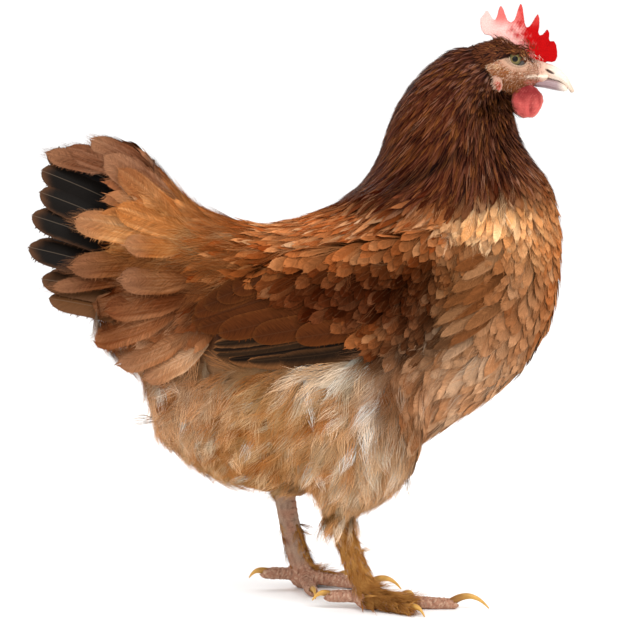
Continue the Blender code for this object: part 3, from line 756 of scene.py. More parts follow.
# The comb's outline in x and z, from the back of its root over the six points to the front.
COMB_OUTLINE = np.array([
    (142, 402), (134.5, 406.3), (130.6, 407.2), (128.5, 410), (127.5, 414.5), (127.8, 418.6), (129.8, 421),
    (131.4, 423.6), (132.8, 423.8), (134.2, 420.8), (136.2, 417.8), (138.2, 417.2), (139.6, 420.6),
    (140.8, 425), (142.1, 427.6), (143.5, 425.4), (145, 421.2), (146.9, 417), (149.3, 415.2),
    (151.6, 416.6), (153.1, 420.2), (154.5, 424.8), (156.3, 429), (157.7, 426), (158.5, 420.5),
    (159.1, 415), (160.4, 411.6), (162.4, 412.4), (164.5, 415.4), (166.7, 419), (168.7, 421.8),
    (169.7, 418.6), (169.7, 412.8), (169, 408.6), (169.8, 406.2), (171.8, 406.8), (173.8, 408.6),
    (175.4, 410.6), (176.6, 408), (176.5, 404.2), (177, 402), (178.6, 402.2), (180.2, 402.2),
    (181.7, 399.4), (182.5, 395.2), (182.5, 390.8), (181.2, 388), (178.6, 387.2), (175.5, 387.8),
    (172, 386), (166, 386), (156, 391), (149, 397),
]) * MM
COMB_HALF = ((400 * MM, 424 * MM), (2.1 * MM, 1.1 * MM))  # heights, and half the thickness at each


def plate(name, outline, heights, halves):
    """A closed flat mesh: an outline given clockwise in x and z, on both sides of the bird's middle
    plane by half a thickness that goes with height."""
    outline = outline[::-1]
    index = np.arange(len(outline))
    beside = (index + 1) % len(outline)
    half = np.interp(outline[:, 1], heights, halves)
    near = np.stack([outline[:, 0], -half, outline[:, 1]], 1)
    rim = np.stack([beside, index, index + len(index), beside + len(index)], 1)
    mesh = bpy.data.meshes.new(name)
    mesh.from_pydata(np.concatenate([near, near * (1, -1, 1)]).tolist(), [],
                     [index.tolist(), (index[::-1] + len(index)).tolist(), *rim.tolist()])
    return mesh


comb_plate = plate("comb_plate", COMB_OUTLINE, *COMB_HALF)
head_nodes = ["head", *both("wattle", "earlobe", "eye")]
head_mesh = cast_from("head_form", head_nodes, HEAD_VOXEL, smoothing=2, extra=[comb_plate])
head_points, head_normals = points_of(head_mesh), normals_of(head_mesh)
comb_ground = ground_of(cast_from("part_form", [], COMB_VOXEL, extra=[comb_plate]))
wattle_ground, lobe_ground = [
    ground_of(cast_from("part_form", both(name), FLESH_VOXEL)) for name in ("wattle", "earlobe")
]
flesh_grounds = (comb_ground, wattle_ground, lobe_ground)
on_comb, on_wattle, on_lobe = [
    1 - ramp(0.2 * MM, fade * MM, ground.distance(head_points))
    for ground, fade in zip(flesh_grounds, (1.0, 0.9, 0.9))
]
bare = face_share(head_points) * (1 - on_comb) * (1 - on_wattle)
feathered = (1 - bare) * (1 - on_comb) * (1 - on_wattle) * (1 - on_lobe)

# How far the skin stands out in mm: down under the small feathers, up on the lores and at the gape,
# with the face's wrinkles, the pimples of the comb and wattles, and their folds.
x, _, z = in_mm(head_points)
eye_share, _ = eye_frame(head_points)
wrinkle = ripple(head_points * (1, 0.5, 1.6), 2.2 * MM, 5) + 0.6 * ripple(head_points, 1.1 * MM, 6)
papilla = ripple(head_points, 1.3 * MM, 7)
folds = ripple(head_points * (1, 1, 0.35), 5 * MM, 8)
gape = band(GAPE[0] + GAPE[2] * (x - GAPE[1]), 1.25, z) * ramp(157, 162, x)
shift = -1.3 * feathered
shift += 0.8 * ramp(168, 173, x) * (z < 390) * (1 - on_comb)
shift += 0.22 * wrinkle * bare * ramp(1.3, 1.9, eye_share)
shift += 0.16 * papilla * np.maximum(on_comb, on_wattle)
shift += 0.7 * gape
shift += 0.9 * folds * on_wattle + 0.25 * folds * on_comb * ramp(392, 404, z)
head_points = head_points + (shift * MM)[:, None] * head_normals

# The eyeball fills the socket, so the skin is pressed back inside the lids and lies on it around them.
# All of it moves along the ball's radius.
LID_HEIGHT, SOCKET_DEPTH = 0.55, 2.2
# Creases round the opening: how far out as a share of it, how wide, and how high in mm. The last one
# is under the eye only.
LID_CREASES = ((1.12, 0.10, 0.30), (1.36, 0.09, -0.45), (1.56, 0.11, 0.35), (1.78, 0.10, -0.30))

eye_share, eye_gap = eye_frame(head_points)
mirror = np.sign(head_points[:, 1:2]) ** (0, 1, 0)
on_side = np.abs(head_points[:, 1]) / MM > 6
from_ball = head_points / MM - EYE_CENTRE * mirror
radius = np.linalg.norm(from_ball, axis=1)
creases = [height * band(middle, width, eye_share) for middle, width, height in LID_CREASES]
creases[-1] = creases[-1] * ramp(2, -2, eye_gap[:, 1])
open_share = (1 - ramp(0.97, 1.05, eye_share)) * on_side
lid = EYE_RADIUS + (LID_HEIGHT + sum(creases)) * (1 - open_share) - SOCKET_DEPTH * open_share
weight = (1 - ramp(1.35, 2.3, eye_share)) * on_side
lidded = radius * (1 - weight) + np.where(eye_share < 1.3, lid, np.maximum(lid, radius - 1.6)) * weight
lidded = np.where(open_share < 0.1, np.maximum(lidded, EYE_RADIUS + 0.4), lidded)
head_points = (EYE_CENTRE * mirror + from_ball * (lidded / radius)[:, None]) * MM

x, _, z = in_mm(head_points)
rust = ramp(-0.2, 0.7, ripple(head_points, 6 * MM, 11) + 0.5 * ripple(head_points, 1.8 * MM, 12))
chin = band(371.9, 2.4, z) * ramp(157, 161, x) * (1 - ramp(169, 172, x))
lobe_gap = np.hypot(x - LOBE_MIDDLE[0], z - LOBE_MIDDLE[1]) / LOBE_HALF
lobe_tone = mixed(LOBE_PALE, LOBE_RED, 1 - ramp(0.7, 1.2, lobe_gap))
streaks = ripple(head_points * (1, 1, 0.3), 2.4 * MM, 9)
comb_tone = layered(
    COMB_PALE,
    (COMB_RED, ramp(143, 164, x + 0.2 * (z - 408) + 3 * papilla + 7 * streaks)),
    (COMB_TIP, 0.8 * ramp(410, 420, z) * ramp(134, 140, x)),
    (COMB_RED * 0.6, 0.5 * ramp(0.1, 0.8, papilla) * ramp(146, 156, x)),
)
wattle_gap = np.hypot((x - WATTLE_MIDDLE[0]) / WATTLE_HALF[0], (z - WATTLE_MIDDLE[1]) / WATTLE_HALF[1])
wattle_tone = layered(
    WATTLE_RED,
    (WATTLE_RIM, 0.8 * ramp(0.82, 1.0, wattle_gap)),
    # Painted shadow of the bill over the wattle's top.
    (WATTLE_SHADE, 0.85 * ramp(355, 367, z)),
    # Painted shade in the hollows of its folds.
    (WATTLE_SHADE, 0.6 * ramp(0.0, -0.8, folds) * (1 - ramp(0.8, 1.0, wattle_gap))),
    (WATTLE_RIM, 0.3 * ramp(0.2, 0.8, papilla)),
)
head_tone = layered(
    FACE_PINK,
    (FACE_RUST, 0.75 * rust),
    (FACE_RUST, 0.9 * ramp(380, 369, z) * (1 - ramp(158, 164, x))),
    (LORE_PALE, 0.75 * ramp(161, 169, x) * (1 - 0.5 * rust)),
    (HORN_ROOT, 0.85 * ramp(170, 174, x) * (z < 389)),
    # Painted shade in the nostril's slit.
    (NOSTRIL_SHADE, nostril(x, z)),
    (GAPE_PALE, 0.95 * gape),
    (WATTLE_RED, 0.95 * chin),
    (LID_PALE, 0.4 * (1 - ramp(1.4, 2.2, eye_share))),
    (LID_PALE, 0.9 * band(1.14, 0.13, eye_share)),
    # Painted shade in the crease round the lids.
    (LID_SHADE, 0.45 * band(1.36, 0.07, eye_share)),
    # Painted shadow of the brow over the top of the opening.
    (BROW_SHADOW, 0.95 * ramp(0.8, 2.8, eye_gap[:, 1]) * (1 - ramp(1.5, 2.1, eye_share)) * on_side),
    # Painted shade round the rim of the opening, where the lids meet the ball.
    (LID_SHADE, (1 - ramp(1.0, 1.1, eye_share)) * on_side),
    # Painted shade: the skin under the small feathers, at half the down's brightness.
    (UNDER_DOWN * 0.5, feathered),
    (lobe_tone, on_lobe),
    (comb_tone, on_comb),
    (wattle_tone, on_wattle),
)

# The body's skin lies under the coat, deeper on the trunk than up the neck and down the thighs.
trunk_mesh = cast_from("trunk_form", winged_torso, BODY_VOXEL, smoothing=8, cut=SKIN_CUT)
trunk_points, trunk_normals = points_of(trunk_mesh), normals_of(trunk_mesh)
x, _, z = in_mm(trunk_points)
neck_share = ramp(300, 380, z) * ramp(60, 90, x)
thigh_share = 1 - ramp(66, 100, z)
depth = COAT_DEPTH * (1 - 0.68 * neck_share) * (1 - 0.62 * thigh_share)
depth = np.where((z > 355) & (x > 100), HEAD_COAT_DEPTH, depth)
trunk_points = trunk_points - depth[:, None] * trunk_normals
trunk_tone = np.tile(UNDER_DOWN, (len(trunk_points), 1))

# Scutes: overlapping plates down the front of each shank and along the top of each toe.
SCUTE, TOE_PLATE = 4.6, 3.0  # from one plate to the next
FEET = {"right": np.array([47, -44]), "left": np.array([1, 44])}  # x and y where each foot's toes meet


def from_foot(places):
    """How far in front of the place where its foot's toes meet each point is, and how far out, in mm."""
    x, out, _ = in_mm(places)
    return x - np.where(places[:, 1] < 0, FEET["right"][0], FEET["left"][0]), out - FEET["left"][1]


leg_mesh = cast_from("leg_form", both("shank", "foot"), LEG_VOXEL, smoothing=3)
leg_points, leg_normals = points_of(leg_mesh), normals_of(leg_mesh)
leg_height = leg_points[:, 2] / MM
on_shank = ramp(14, 24, leg_height)
shank_front = on_shank * ramp(-0.1, 0.5, leg_normals[:, 0])
shank_plate = np.mod(leg_height / SCUTE + 0.15 * np.sin(leg_points[:, 1] / MM * 0.9), 1)
reach = np.hypot(*from_foot(leg_points))
toe_top = (1 - on_shank) * ramp(0.0, 0.6, leg_normals[:, 2]) * ramp(8, 14, reach)
toe_plate = np.mod(reach / TOE_PLATE + 0.7 * ripple(leg_points, 5 * MM, 24), 1)
grain = ripple(leg_points, 2.0 * MM, 21)
leg_shift = 0.55 * (shank_plate**2 - 0.33) * shank_front + 0.6 * (toe_plate**2 - 0.33) * toe_top
leg_shift += (0.1 + 0.3 * (1 - on_shank)) * grain
leg_shift *= ramp(0.3, 2.0, leg_height)
leg_points = leg_points + (leg_shift * MM)[:, None] * leg_normals
leg_points[:, 2] = np.maximum(leg_points[:, 2], 0)
groove = np.maximum(ramp(0.14, 0.0, shank_plate) * shank_front, ramp(0.16, 0.0, toe_plate) * toe_top)
mottle = ramp(0.0, 1.0, ripple(leg_points * (1, 1, 0.4), 3 * MM, 23))
leg_tone = layered(
    LEG_SKIN,
    (LEG_ROSE, 0.7 * ramp(-0.2, 0.8, ripple(leg_points, 12 * MM, 22))),
    (LEG_ROSE, 0.8 * (1 - on_shank)),
    (LEG_TAN, 0.6 * ramp(0.3, 0.9, toe_plate) * (1 - on_shank) * ramp(-0.6, 0.4, grain)),
    (LEG_DARK, 0.7 * groove),
    (LEG_DARK, (0.35 + 0.3 * (1 - on_shank)) * mottle),
)


def joined(parts):
    """Several (points, triangles, ...) sets as one, the triangles counted on from set to set."""
    starts = np.cumsum([0, *[len(part[0]) for part in parts[:-1]]])
    triangles = np.concatenate([part[1] + start for part, start in zip(parts, starts)])
    rest = [np.concatenate([part[k] for part in parts]) for k in range(2, len(parts[0]))]
    return (np.concatenate([part[0] for part in parts]), triangles, *rest)


def noise_shade(tree, noise, dark, pale):
    """A noise's middle range, 0.3 to 0.7, spread from a dark factor to a pale one."""
    return node(tree, "ShaderNodeMapRange", {"Value": noise.outputs["Fac"], "From Min": 0.3, "From Max": 0.7,
                                             "To Min": dark, "To Max": pale}).outputs[0]


skin_finish, tree, shader = new_finish("bare_skin", Roughness=0.55, Specular_IOR_Level=0.05)
scaly_in = node(tree, "ShaderNodeAttribute", attribute_name="scaly")
place_in = node(tree, "ShaderNodeTexCoord").outputs["Object"]
pores = node(tree, "ShaderNodeTexNoise", {"Vector": place_in, "Scale": 1400.0, "Detail": 2.0})
cells = node(tree, "ShaderNodeTexVoronoi", {"Vector": place_in, "Scale": 480.0}, feature="DISTANCE_TO_EDGE")
scale_edge = node(tree, "ShaderNodeMapRange", {"Value": cells.outputs["Distance"], "From Max": 0.12})
scale_height = maths(tree, "MULTIPLY", scale_edge.outputs[0], scaly_in.outputs["Fac"])
height = maths(tree, "ADD", scale_height, pores.outputs["Fac"])
dress(tree, shader, toned(tree, noise_shade(tree, pores, 0.82, 1.12)), height, 0.6, 0.25 * MM)

# Each part's points, triangles and tone, whether it is scaly, and where the coat covers it.
points, triangles, skin_tone, scaly, coated = joined([
    (head_points, triangles_of(head_mesh), head_tone, 0 * feathered, feathered),
    (trunk_points, triangles_of(trunk_mesh), trunk_tone, 0 * depth, 0 * depth + 1),
    (leg_points, triangles_of(leg_mesh), leg_tone, 0 * reach + 1, 0 * reach),
])
skin = new_piece("skin", points, [triangles], skin_finish)
skin.data.attributes.new("scaly", "FLOAT", "POINT").data.foreach_set("value", scaly.astype(np.float32))
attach(skin, "root")
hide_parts("trunk", "neck", "head", "comb", *both("thigh", "shank", "foot", "wattle", "earlobe"))


# ---- Markings ----
# The hen's colour is her breed's: mahogany hackles, gold where the cape ends, tan breast, chestnut
# wings, a copper back, orange coverts, buff fluff with two pale patches, and black tail quills. Two marks
# are painted shade: the front of the neck and the slit under the wing's front.

# Name, then the middle (x, z), the reach (x, z) in mm, the weight and the colour.
MARKINGS = (
    ("crown", 125, 400, 24, 14, 1.0, "3f211a"),
    ("nape", 90, 370, 30, 26, 1.0, "3d1709"),
    ("hackle", 120, 335, 34, 30, 1.2, "38160a"),
    ("behind ear", 127, 370, 7, 16, 1.6, "200d07"),
    # Painted shade down the front of the neck, beside the throat.
    ("neck front", 141, 352, 6, 22, 1.8, "1c0b06"),
    ("cape", 96, 306, 46, 10, 2.0, "3c170a"),
    ("cape tips", 118, 290, 18, 5, 1.2, "4f230f"),
    ("throat", 162, 335, 12, 22, 1.0, "3a150a"),
    ("hackle front", 166, 312, 9, 12, 1.4, "8c5838"),
    ("cape edge", 132, 276, 16, 7, 2.6, "eeb880"),
    ("cape hem", 96, 282, 14, 5, 1.0, "a9683c"),
    ("upper breast", 166, 268, 20, 14, 1.2, "b67a4a"),
    ("breast", 150, 215, 24, 30, 1.3, "845737"),
    ("keel", 182, 225, 7, 40, 1.2, "96572d"),
    ("low breast", 118, 160, 30, 24, 1.3, "b38662"),
    ("side", 118, 224, 12, 20, 1.6, "8c5a34"),
    ("wing front", 84, 228, 20, 24, 2.8, "270f03"),
    ("shoulder", 84, 266, 22, 9, 1.3, "884b25"),
    ("wing", 40, 225, 41, 21, 3.2, "341608"),
    # Painted shadow in the slit between the wing's front and the breast.
    ("wing pit", 86, 193, 18, 6, 3.0, "170b05"),
    ("wing hem", 28, 198, 26, 6, 2.2, "7c4420"),
    ("wing tip", -30, 206, 22, 12, 1.0, "4a220c"),
    ("back", 10, 268, 50, 9, 1.3, "a05e34"),
    ("back light", 22, 256, 26, 8, 1.0, "a05e32"),
    ("saddle", -50, 260, 28, 18, 1.4, "82461f"),
    ("rump", -98, 268, 26, 14, 1.3, "b0703a"),
    ("upper coverts", -130, 312, 28, 20, 1.4, "6f4630"),
    ("side coverts", -112, 236, 34, 16, 1.8, "522a13"),
    ("low coverts", -122, 203, 28, 16, 1.3, "7e4d2f"),
    ("vent", -100, 158, 22, 16, 1.2, "9c6a45"),
    ("rear fluff", -90, 132, 22, 18, 1.4, "cfa27a"),
    ("belly", -25, 110, 50, 26, 1.4, "b8834f"),
    ("thigh", 42, 92, 26, 26, 1.3, "cda47c"),
    ("flank", 76, 150, 17, 22, 1.8, "6f452a"),
    ("white flank", 20, 165, 17, 6, 2.2, "e3c4a2"),
    ("white seam", 47, 137, 4, 7, 3.4, "f6e4d0"),
    ("pale thigh", 47, 108, 6, 15, 1.2, "e2c7a6"),
    ("hock", 26, 66, 30, 8, 1.6, "b98c5e"),
)
MARK_PLACES = np.array([mark[1:3] for mark in MARKINGS]) * MM
MARK_REACHES = np.array([mark[3:5] for mark in MARKINGS]) * MM
MARK_WEIGHTS = np.array([mark[5] for mark in MARKINGS])
MARK_COLOURS = np.array([linear(mark[6]) for mark in MARKINGS])


def plumage(points):
    """The coat's colour at each point: the markings' colours, each weighted by a Gaussian of the distance
    from its middle in x and z."""
    gap = (points[:, None, [0, 2]] - MARK_PLACES) / MARK_REACHES
    share = MARK_WEIGHTS * np.exp(-0.5 * (gap * gap).sum(-1)) + 1e-9
    return (share / share.sum(-1, keepdims=True)) @ MARK_COLOURS


UNDER_COAT_SHADE = 0.5  # the skin under the coat has the same markings, darker: painted shade in the gaps between feathers
set_tone(skin.data, mixed(skin_tone, UNDER_COAT_SHADE * plumage(points_of(skin.data)), coated))


def faded(colour, fade):
    """A colour to the power of 1 less the fade: paler where that is above 0 and deeper below."""
    return colour ** (1 - fade)[:, None]


def root_shade(along, dark, start, end):
    """A factor that is dark at a feather's root, partly its greyer down and partly painted shade under the
    feather over it, and rises to 1 between two shares of its length.
    """
    return (dark + (1 - dark) * ramp(start, end, along))[:, None]


def feather_tones(rim, spread, root_dark=0.3, warm=0.35, tip=0.0, brightness=1.0, mottle=0.17):
    """A colours function for coat: the plumage, in patches and from feather to feather paler or deeper by a
    power of it, darker at the root (grey down and painted shade), paler along its rim, and a painted shadow
    on the tip by tip."""

    def tones(points, along, across, luck):
        fade = mottle * ripple(points, 14 * MM, 41) + spread * (luck[:, 0] * 2 - 1)
        base = faded(plumage(points) * brightness, fade)
        base = base * (1 + warm * (luck[:, 1:2] * 2 - 1) * np.array((0.3, 0.0, -0.3)))
        edge = np.maximum(ramp(0.55, 1, np.abs(across)) * ramp(0.4, 0.8, along), ramp(0.8, 0.98, along))
        base = base * (1 + rim * edge - tip * ramp(0.97, 1.0, along))[:, None]
        return base * root_shade(along, root_dark, 0.15, 0.8)

    return tones


def of_head(places):
    """True in front of the plane where the head leaves the neck."""
    x, _, z = in_mm(places)
    return (40 * (x - 119) + 26.5 * (z - 401) > 0) & (z > 345)


def of_hackles(places):
    """True on the neck above the cape's uneven hem."""
    x, _, z = in_mm(places)
    hem = 3.5 * np.sin(x / 5.1) + 2.5 * np.sin(x / 2.3 + 1)
    return (z > 312 + 0.002 * (x - 100) ** 2 + hem) & ~of_head(places)


def of_wing(places):
    """True on the outer face of either wing."""
    return (wings_only.distance(places) < 1.5 * MM) & (np.abs(places[:, 1]) > 50 * MM)


def over_quills(places):
    """True below the roots of the lowest wing coverts."""
    x, _, z = in_mm(places)
    return z < 247 - 0.315 * (x + 30) - 20 * ramp(20, 70, x)


def of_tail(places):
    """True behind the rump and above the vent."""
    x, _, z = in_mm(places)
    return (x < -58 - 0.2 * (z - 230)) & (z > 186 + 0.35 * (x + 60))


# The lower edge of the folded wing, x and z in mm.
WING_EDGE = ((-120, -84, -62, -42, -10, 26, 65, 94), (190, 188, 174, 170, 172.5, 177.5, 192.5, 200))


def of_fluff(places):
    """True on the belly, the vent and the thighs, up to the folded wing."""
    x, _, z = in_mm(places)
    far_hock = (places[:, 1] > 0) & (z < 84) & (x < 40)
    return (z < np.interp(x, *WING_EDGE) + 2) & (x < 88 - 0.25 * (z - 120)) & ~of_tail(places) & ~far_hock


def of_breast(places):
    """True in front of the wing and of the thigh, up to the hackles."""
    x, _, z = in_mm(places)
    front = np.where(z > 196, 112, 86)
    return (x > front) & ~of_hackles(places) & ~of_head(places) & ~of_fluff(places)


def of_back(places):
    """True where none of the tracts above is."""
    return ~(of_hackles(places) | of_head(places) | of_tail(places) | of_fluff(places) | of_breast(places))


# ---- Fluff ----
# Belly, vent and thighs are covered with down: loose feathers whose barbs don't hook together, so that
# each ends in a spray of hairs. Soft vanes lie under the spray.

FACES_AWAY = 0.75  # no feather grows where the surface faces its tip by more than this cosine
DEEPEST = 0.22  # a root is sunk by no more than this share of its feather's length


def tract(name, ground, wanted, seed, finish, slot, axis, tones, spacing, length=1.0, width=1.0, steps=6,
          rows=7, columns=5, outline=rounded(), sink=5.0, lift=0.4, rough=0.35, turn=0.14, camber=0.25,
          fringe=0, fringe_reach=0.1, ragged=0.03, strands=0, spread=1.0, strand_width=0.2, way=lie,
          sizes=None, above=None, shadow=None):
    """Roots spread over one tract, feathers combed from them, and on each its strands, or a vane with its
    fringe. Spacing is a share of the width. Sink, lift and its spread, rough, are in mm. sizes is a
    feather's length and width in mm, or None for the chart's."""
    draws = np.random.default_rng(seed)

    def width_at(places):
        return feather_width(places) if sizes is None else np.full(len(places), sizes[1] * MM)

    roots = ground.roots(lambda places: spacing * width_at(places) * width, wanted, seed)
    roots = roots[(way(roots) * ground.nearest(roots)[1]).sum(-1) < FACES_AWAY]
    count = len(roots)
    long = feather_length(roots) if sizes is None else np.full(count, sizes[0] * MM)
    long = long * length * draws.uniform(0.82, 1.14, count)
    wide = width_at(roots) * width * draws.uniform(0.86, 1.12, count)
    line, up = combed(ground, roots, long, steps, draws.normal(0, turn, count), way)
    depth = np.minimum(sink * MM, DEEPEST * long) * draws.uniform(0.9, 1.1, count)
    plumes = Plumes(line, up, wide / 2, outline, depth, draws.normal(lift, rough, count) * MM, camber)
    if strands:
        plumes.add_strands(draws, strands, joints=5, width=strand_width * MM, spread=spread)
    else:
        plumes.add_vanes(draws, rows, columns, ragged)
    if fringe:
        plumes.add_fringe(draws, fringe, start=0.4, reach=fringe_reach)
    if above is not None:
        for points in plumes.points:
            points[:, 2] = np.maximum(points[:, 2], above)
    coat(name, plumes, tones, finish, slot, axis, draws, shadow=shadow)


def steady(way):
    """A way for tract that is the same everywhere."""
    return lambda places: np.tile(way, (len(places), 1))


TRUNK_AXIS = ((-140, 0, 220), (190, 0, 200))
NECK_AXIS = ((90, 0, 260), (130, 0, 400))

down_finish = feather_finish("down", pitch=9.0, contrast=1.0, roughness=0.8, gloss=0.0)
# A tract's finish, its slot, and the line that its map is unrolled from.
FLUFF = (down_finish, "fluff_feathers", TRUNK_AXIS)


def of_deep_fluff(places):
    """True on the fluff, well under the wing's edge and above the hocks."""
    x, _, z = in_mm(places)
    return of_fluff(places) & (z > 84) & (z < np.interp(x, *WING_EDGE) - 8)


def of_vent(places):
    """True on the part of the body that faces straight back, under the tail."""
    faces_back = (body.nearest(places)[1] * lie(places)).sum(-1) > 0.6
    return (places[:, 0] < -60 * MM) & (places[:, 2] < 225 * MM) & faces_back


# The down vanes under the hairs are darkened (brightness 0.6) as painted shade.
tract("belly_down", body, of_deep_fluff, 101, *FLUFF, spacing=0.6, length=0.8, rows=6, lift=-2.2, turn=0.25,
      fringe=16, fringe_reach=0.2, ragged=0.06,
      tones=feather_tones(root_dark=0.5, rim=0.1, spread=0.2, brightness=0.6))
hair_tones = feather_tones(root_dark=0.36, rim=0.2, spread=0.36, warm=0.6, mottle=0.6)
for name, seed, lift, rough in (("belly_hairs", 102, 0.2, 1.0), ("belly_hairs_outer", 103, 2.6, 2.4)):
    tract(name, body, of_fluff, seed, *FLUFF, spacing=0.5, sink=4, lift=lift, rough=rough, turn=0.4,
          strands=16, spread=0.55, tones=hair_tones)
tract("vent_hairs", body, of_vent, 104, *FLUFF, spacing=0.5, sizes=(30, 10), sink=4, lift=1.5, rough=1.5,
      turn=0.3, strands=18, spread=0.5, tones=hair_tones, way=steady((0.35, 0.0, -0.94)))


# ---- Breast and back ----
# Contour feathers: broad round vanes with loose barbs along the rim, each over the root of the next.

contour_finish = feather_finish("contour_vanes", pitch=9.0, contrast=1.4, shaft_mix=0.06, shaft_width=0.02,
                                shaft_colour=(0.5, 0.28, 0.14), gloss=0.0)
CONTOUR = (contour_finish, "body_feathers", TRUNK_AXIS)


def of_upper_back(places):
    """True on the back, between the wings and above them."""
    return of_back(places) & ~of_wing(places) & (places[:, 2] > 232 * MM)


def of_flank(places):
    """True on the side of the body behind the wing and under its front."""
    x, _, z = in_mm(places)
    return of_back(places) & (z <= 240) & (((x < -40) & (z > 206)) | (x > 88))


def of_soft_flank(places):
    """True where the breast goes over into the fluff."""
    x, _, z = in_mm(places)
    return (z < 200) & (x > 66) & (x < np.where(z < 184, 156, 122))


tract("breast_feathers", winged, of_breast, 111, *CONTOUR, spacing=0.56, columns=7, fringe=48,
      fringe_reach=0.11, sink=4.5, lift=0.2, rough=0.45, turn=0.19, camber=0.06,
      tones=feather_tones(root_dark=0.55, tip=0.45, rim=0.25, spread=0.14, warm=0.3))
back_tones = feather_tones(rim=0.4, spread=0.31, warm=0.5)
tract("back_feathers", winged, of_upper_back, 112, *CONTOUR, spacing=0.5, fringe=36, fringe_reach=0.11,
      outline=rounded(shoulder=0.45, power=1.6), sink=4.5, lift=0.2, rough=0.4, turn=0.18, tones=back_tones)
tract("flank_feathers", body, of_flank, 114, *CONTOUR, spacing=0.55, fringe=36, fringe_reach=0.14, sink=4.5,
      lift=0.1, tones=back_tones)
# Loose barbs over the contour feathers.
WISPS = {"sink": 2.5, "rough": 0.4, "turn": 0.3, "strands": 9, "spread": 0.5, "strand_width": 0.16,
         "tones": feather_tones(root_dark=0.7, rim=0.3, spread=0.3, warm=0.5, brightness=1.15)}
tract("breast_wisps", winged, of_breast, 115, *CONTOUR, spacing=0.58, lift=0.7, **WISPS)
tract("back_wisps", winged, of_upper_back, 116, *CONTOUR, spacing=0.58, lift=0.7, **WISPS)
tract("flank_hairs", body, of_soft_flank, 118, *FLUFF, spacing=0.42, sink=4, lift=1.2, rough=1.0, turn=0.3,
      strands=18, spread=0.5, tones=feather_tones(root_dark=0.4, rim=0.4, spread=0.32, warm=0.5, mottle=0.38))

QUILL_STEPS = 14
soft_finish = feather_finish("soft_vanes", pitch=12.0, contrast=1.9, roughness=0.8, gloss=0.0)


def side_of(ground, flat, side):
    """The outermost point of a ground at each x and z, seen from one side, or the nearest to it."""
    places = np.stack([flat[..., 0], np.full(flat.shape[:-1], 0.2 * side), flat[..., 1]], -1).reshape(-1, 3)
    hits = [ground.tree.ray_cast(place, (0, -side, 0))[0] for place in places.tolist()]
    near = ground.nearest(places * (1, 0.15, 1))[0]
    out = np.array([near[k, 1] if hit is None else hit[1] for k, hit in enumerate(hits)])
    return out.reshape(flat.shape[:-1])


def laid_out(ground, table, facing):
    """Middle lines and normals on both sides, the right first, from rows of tip x and z, root x and z,
    half width, and how far out from the ground the tip stands, in mm. facing is where they face."""
    share = np.linspace(0, 1, QUILL_STEPS + 1)
    flat = (table[:, None, 2:4] + share[None, :, None] * (table[:, None, :2] - table[:, None, 2:4])) * MM
    lines, normals = [], []
    for side in (RIGHT, LEFT):
        fit = np.polynomial.polynomial.polyfit(share, side_of(ground, flat, side).T, 2)
        out = fit.T @ share[None, :] ** np.arange(3)[:, None]
        out = out + side * (table[:, 5, None] * share**2 + 0.5) * MM
        line = np.stack([flat[..., 0], out, flat[..., 1]], -1)
        ahead = unit(line[:, -1] - line[:, 0])
        across = unit(np.cross(ahead, np.array(facing) * (1, side, 1)))
        normal = unit(np.cross(across, ahead))
        normal = normal * np.sign(normal[:, 1:2] * side)
        lines.append(line)
        normals.append(np.repeat(normal[:, None], QUILL_STEPS + 1, 1))
    return np.concatenate(lines), np.concatenate(normals)


def grid_of_patches(count):
    """The lower left corners of count square patches that fill the map, and their size."""
    across = math.ceil(math.sqrt(count))
    index = np.arange(count)
    return np.stack([index % across, index // across], 1) / across, 0.98 / across


def covering(name, ground, table, slot, seed, facing, outline, tones, strands):
    """The feathers of a table: soft vanes with loose barbs round them and hairs over them."""
    draws = np.random.default_rng(seed)
    line, up = laid_out(ground, table, facing)
    count = len(line)
    plumes = Plumes(line, up, np.tile(table[:, 4], 2) * MM, outline, np.full(count, 2 * MM), np.zeros(count),
                    camber=0.2, sweep=0.3)
    plumes.add_vanes(draws, rows=14, columns=11, ragged=0.03)
    plumes.add_fringe(draws, spikes=240, start=0.15, reach=0.028, width=0.005)
    plumes.outline = lambda along: np.clip(along / 0.4, 0.02, 1) ** 0.7
    plumes.add_strands(draws, strands, joints=7, width=0.17 * MM, spread=0.56, shortest=0.8, shoulder=0.72)
    coat(name, plumes, tones, soft_finish, slot, None, draws, *grid_of_patches(count))


# Long feathers from the side of the breast, which lie over the front of the wing.
SIDE_FEATHERS = np.array([
    (106, 243, 146, 254, 5.5, 3), (104, 228, 141, 246, 6.0, 5), (98, 217, 139, 238, 5.0, 4),
    (94, 205, 138, 231, 5.5, 5), (104, 208, 142, 230, 5.5, 3), (97, 196, 134, 217, 5.0, 4),
    (92, 187, 132, 208, 5.0, 4), (104, 190, 138, 214, 5.5, 3), (98, 178, 127, 200, 4.5, 3),
    (112, 236, 150, 258, 5.5, 3), (112, 218, 148, 242, 5.5, 3), (114, 200, 148, 224, 5.5, 3),
])


def side_tones(points, along, across, luck):
    """Tan, deeper towards the root and paler along both edges."""
    base = faded(plumage(points) * 1.05, 0.5 * (luck[:, 0] - 0.5))
    base = base * (1 + 0.35 * ramp(0.6, 0.95, np.abs(across)))[:, None]
    return base * root_shade(along, 0.35, 0.1, 0.7)


covering("side_feathers", winged, SIDE_FEATHERS, "body_feathers", 117, facing=(0.35, 1, 0), strands=50,
         outline=rounded(shoulder=0.35, power=1.5), tones=side_tones)


# ---- Hackles ----
# Long narrow cape feathers, mahogany and glossy, some with fine golden edges. They hang from the head
# to the shoulders, with painted shade along the line where they part at the side of the neck.

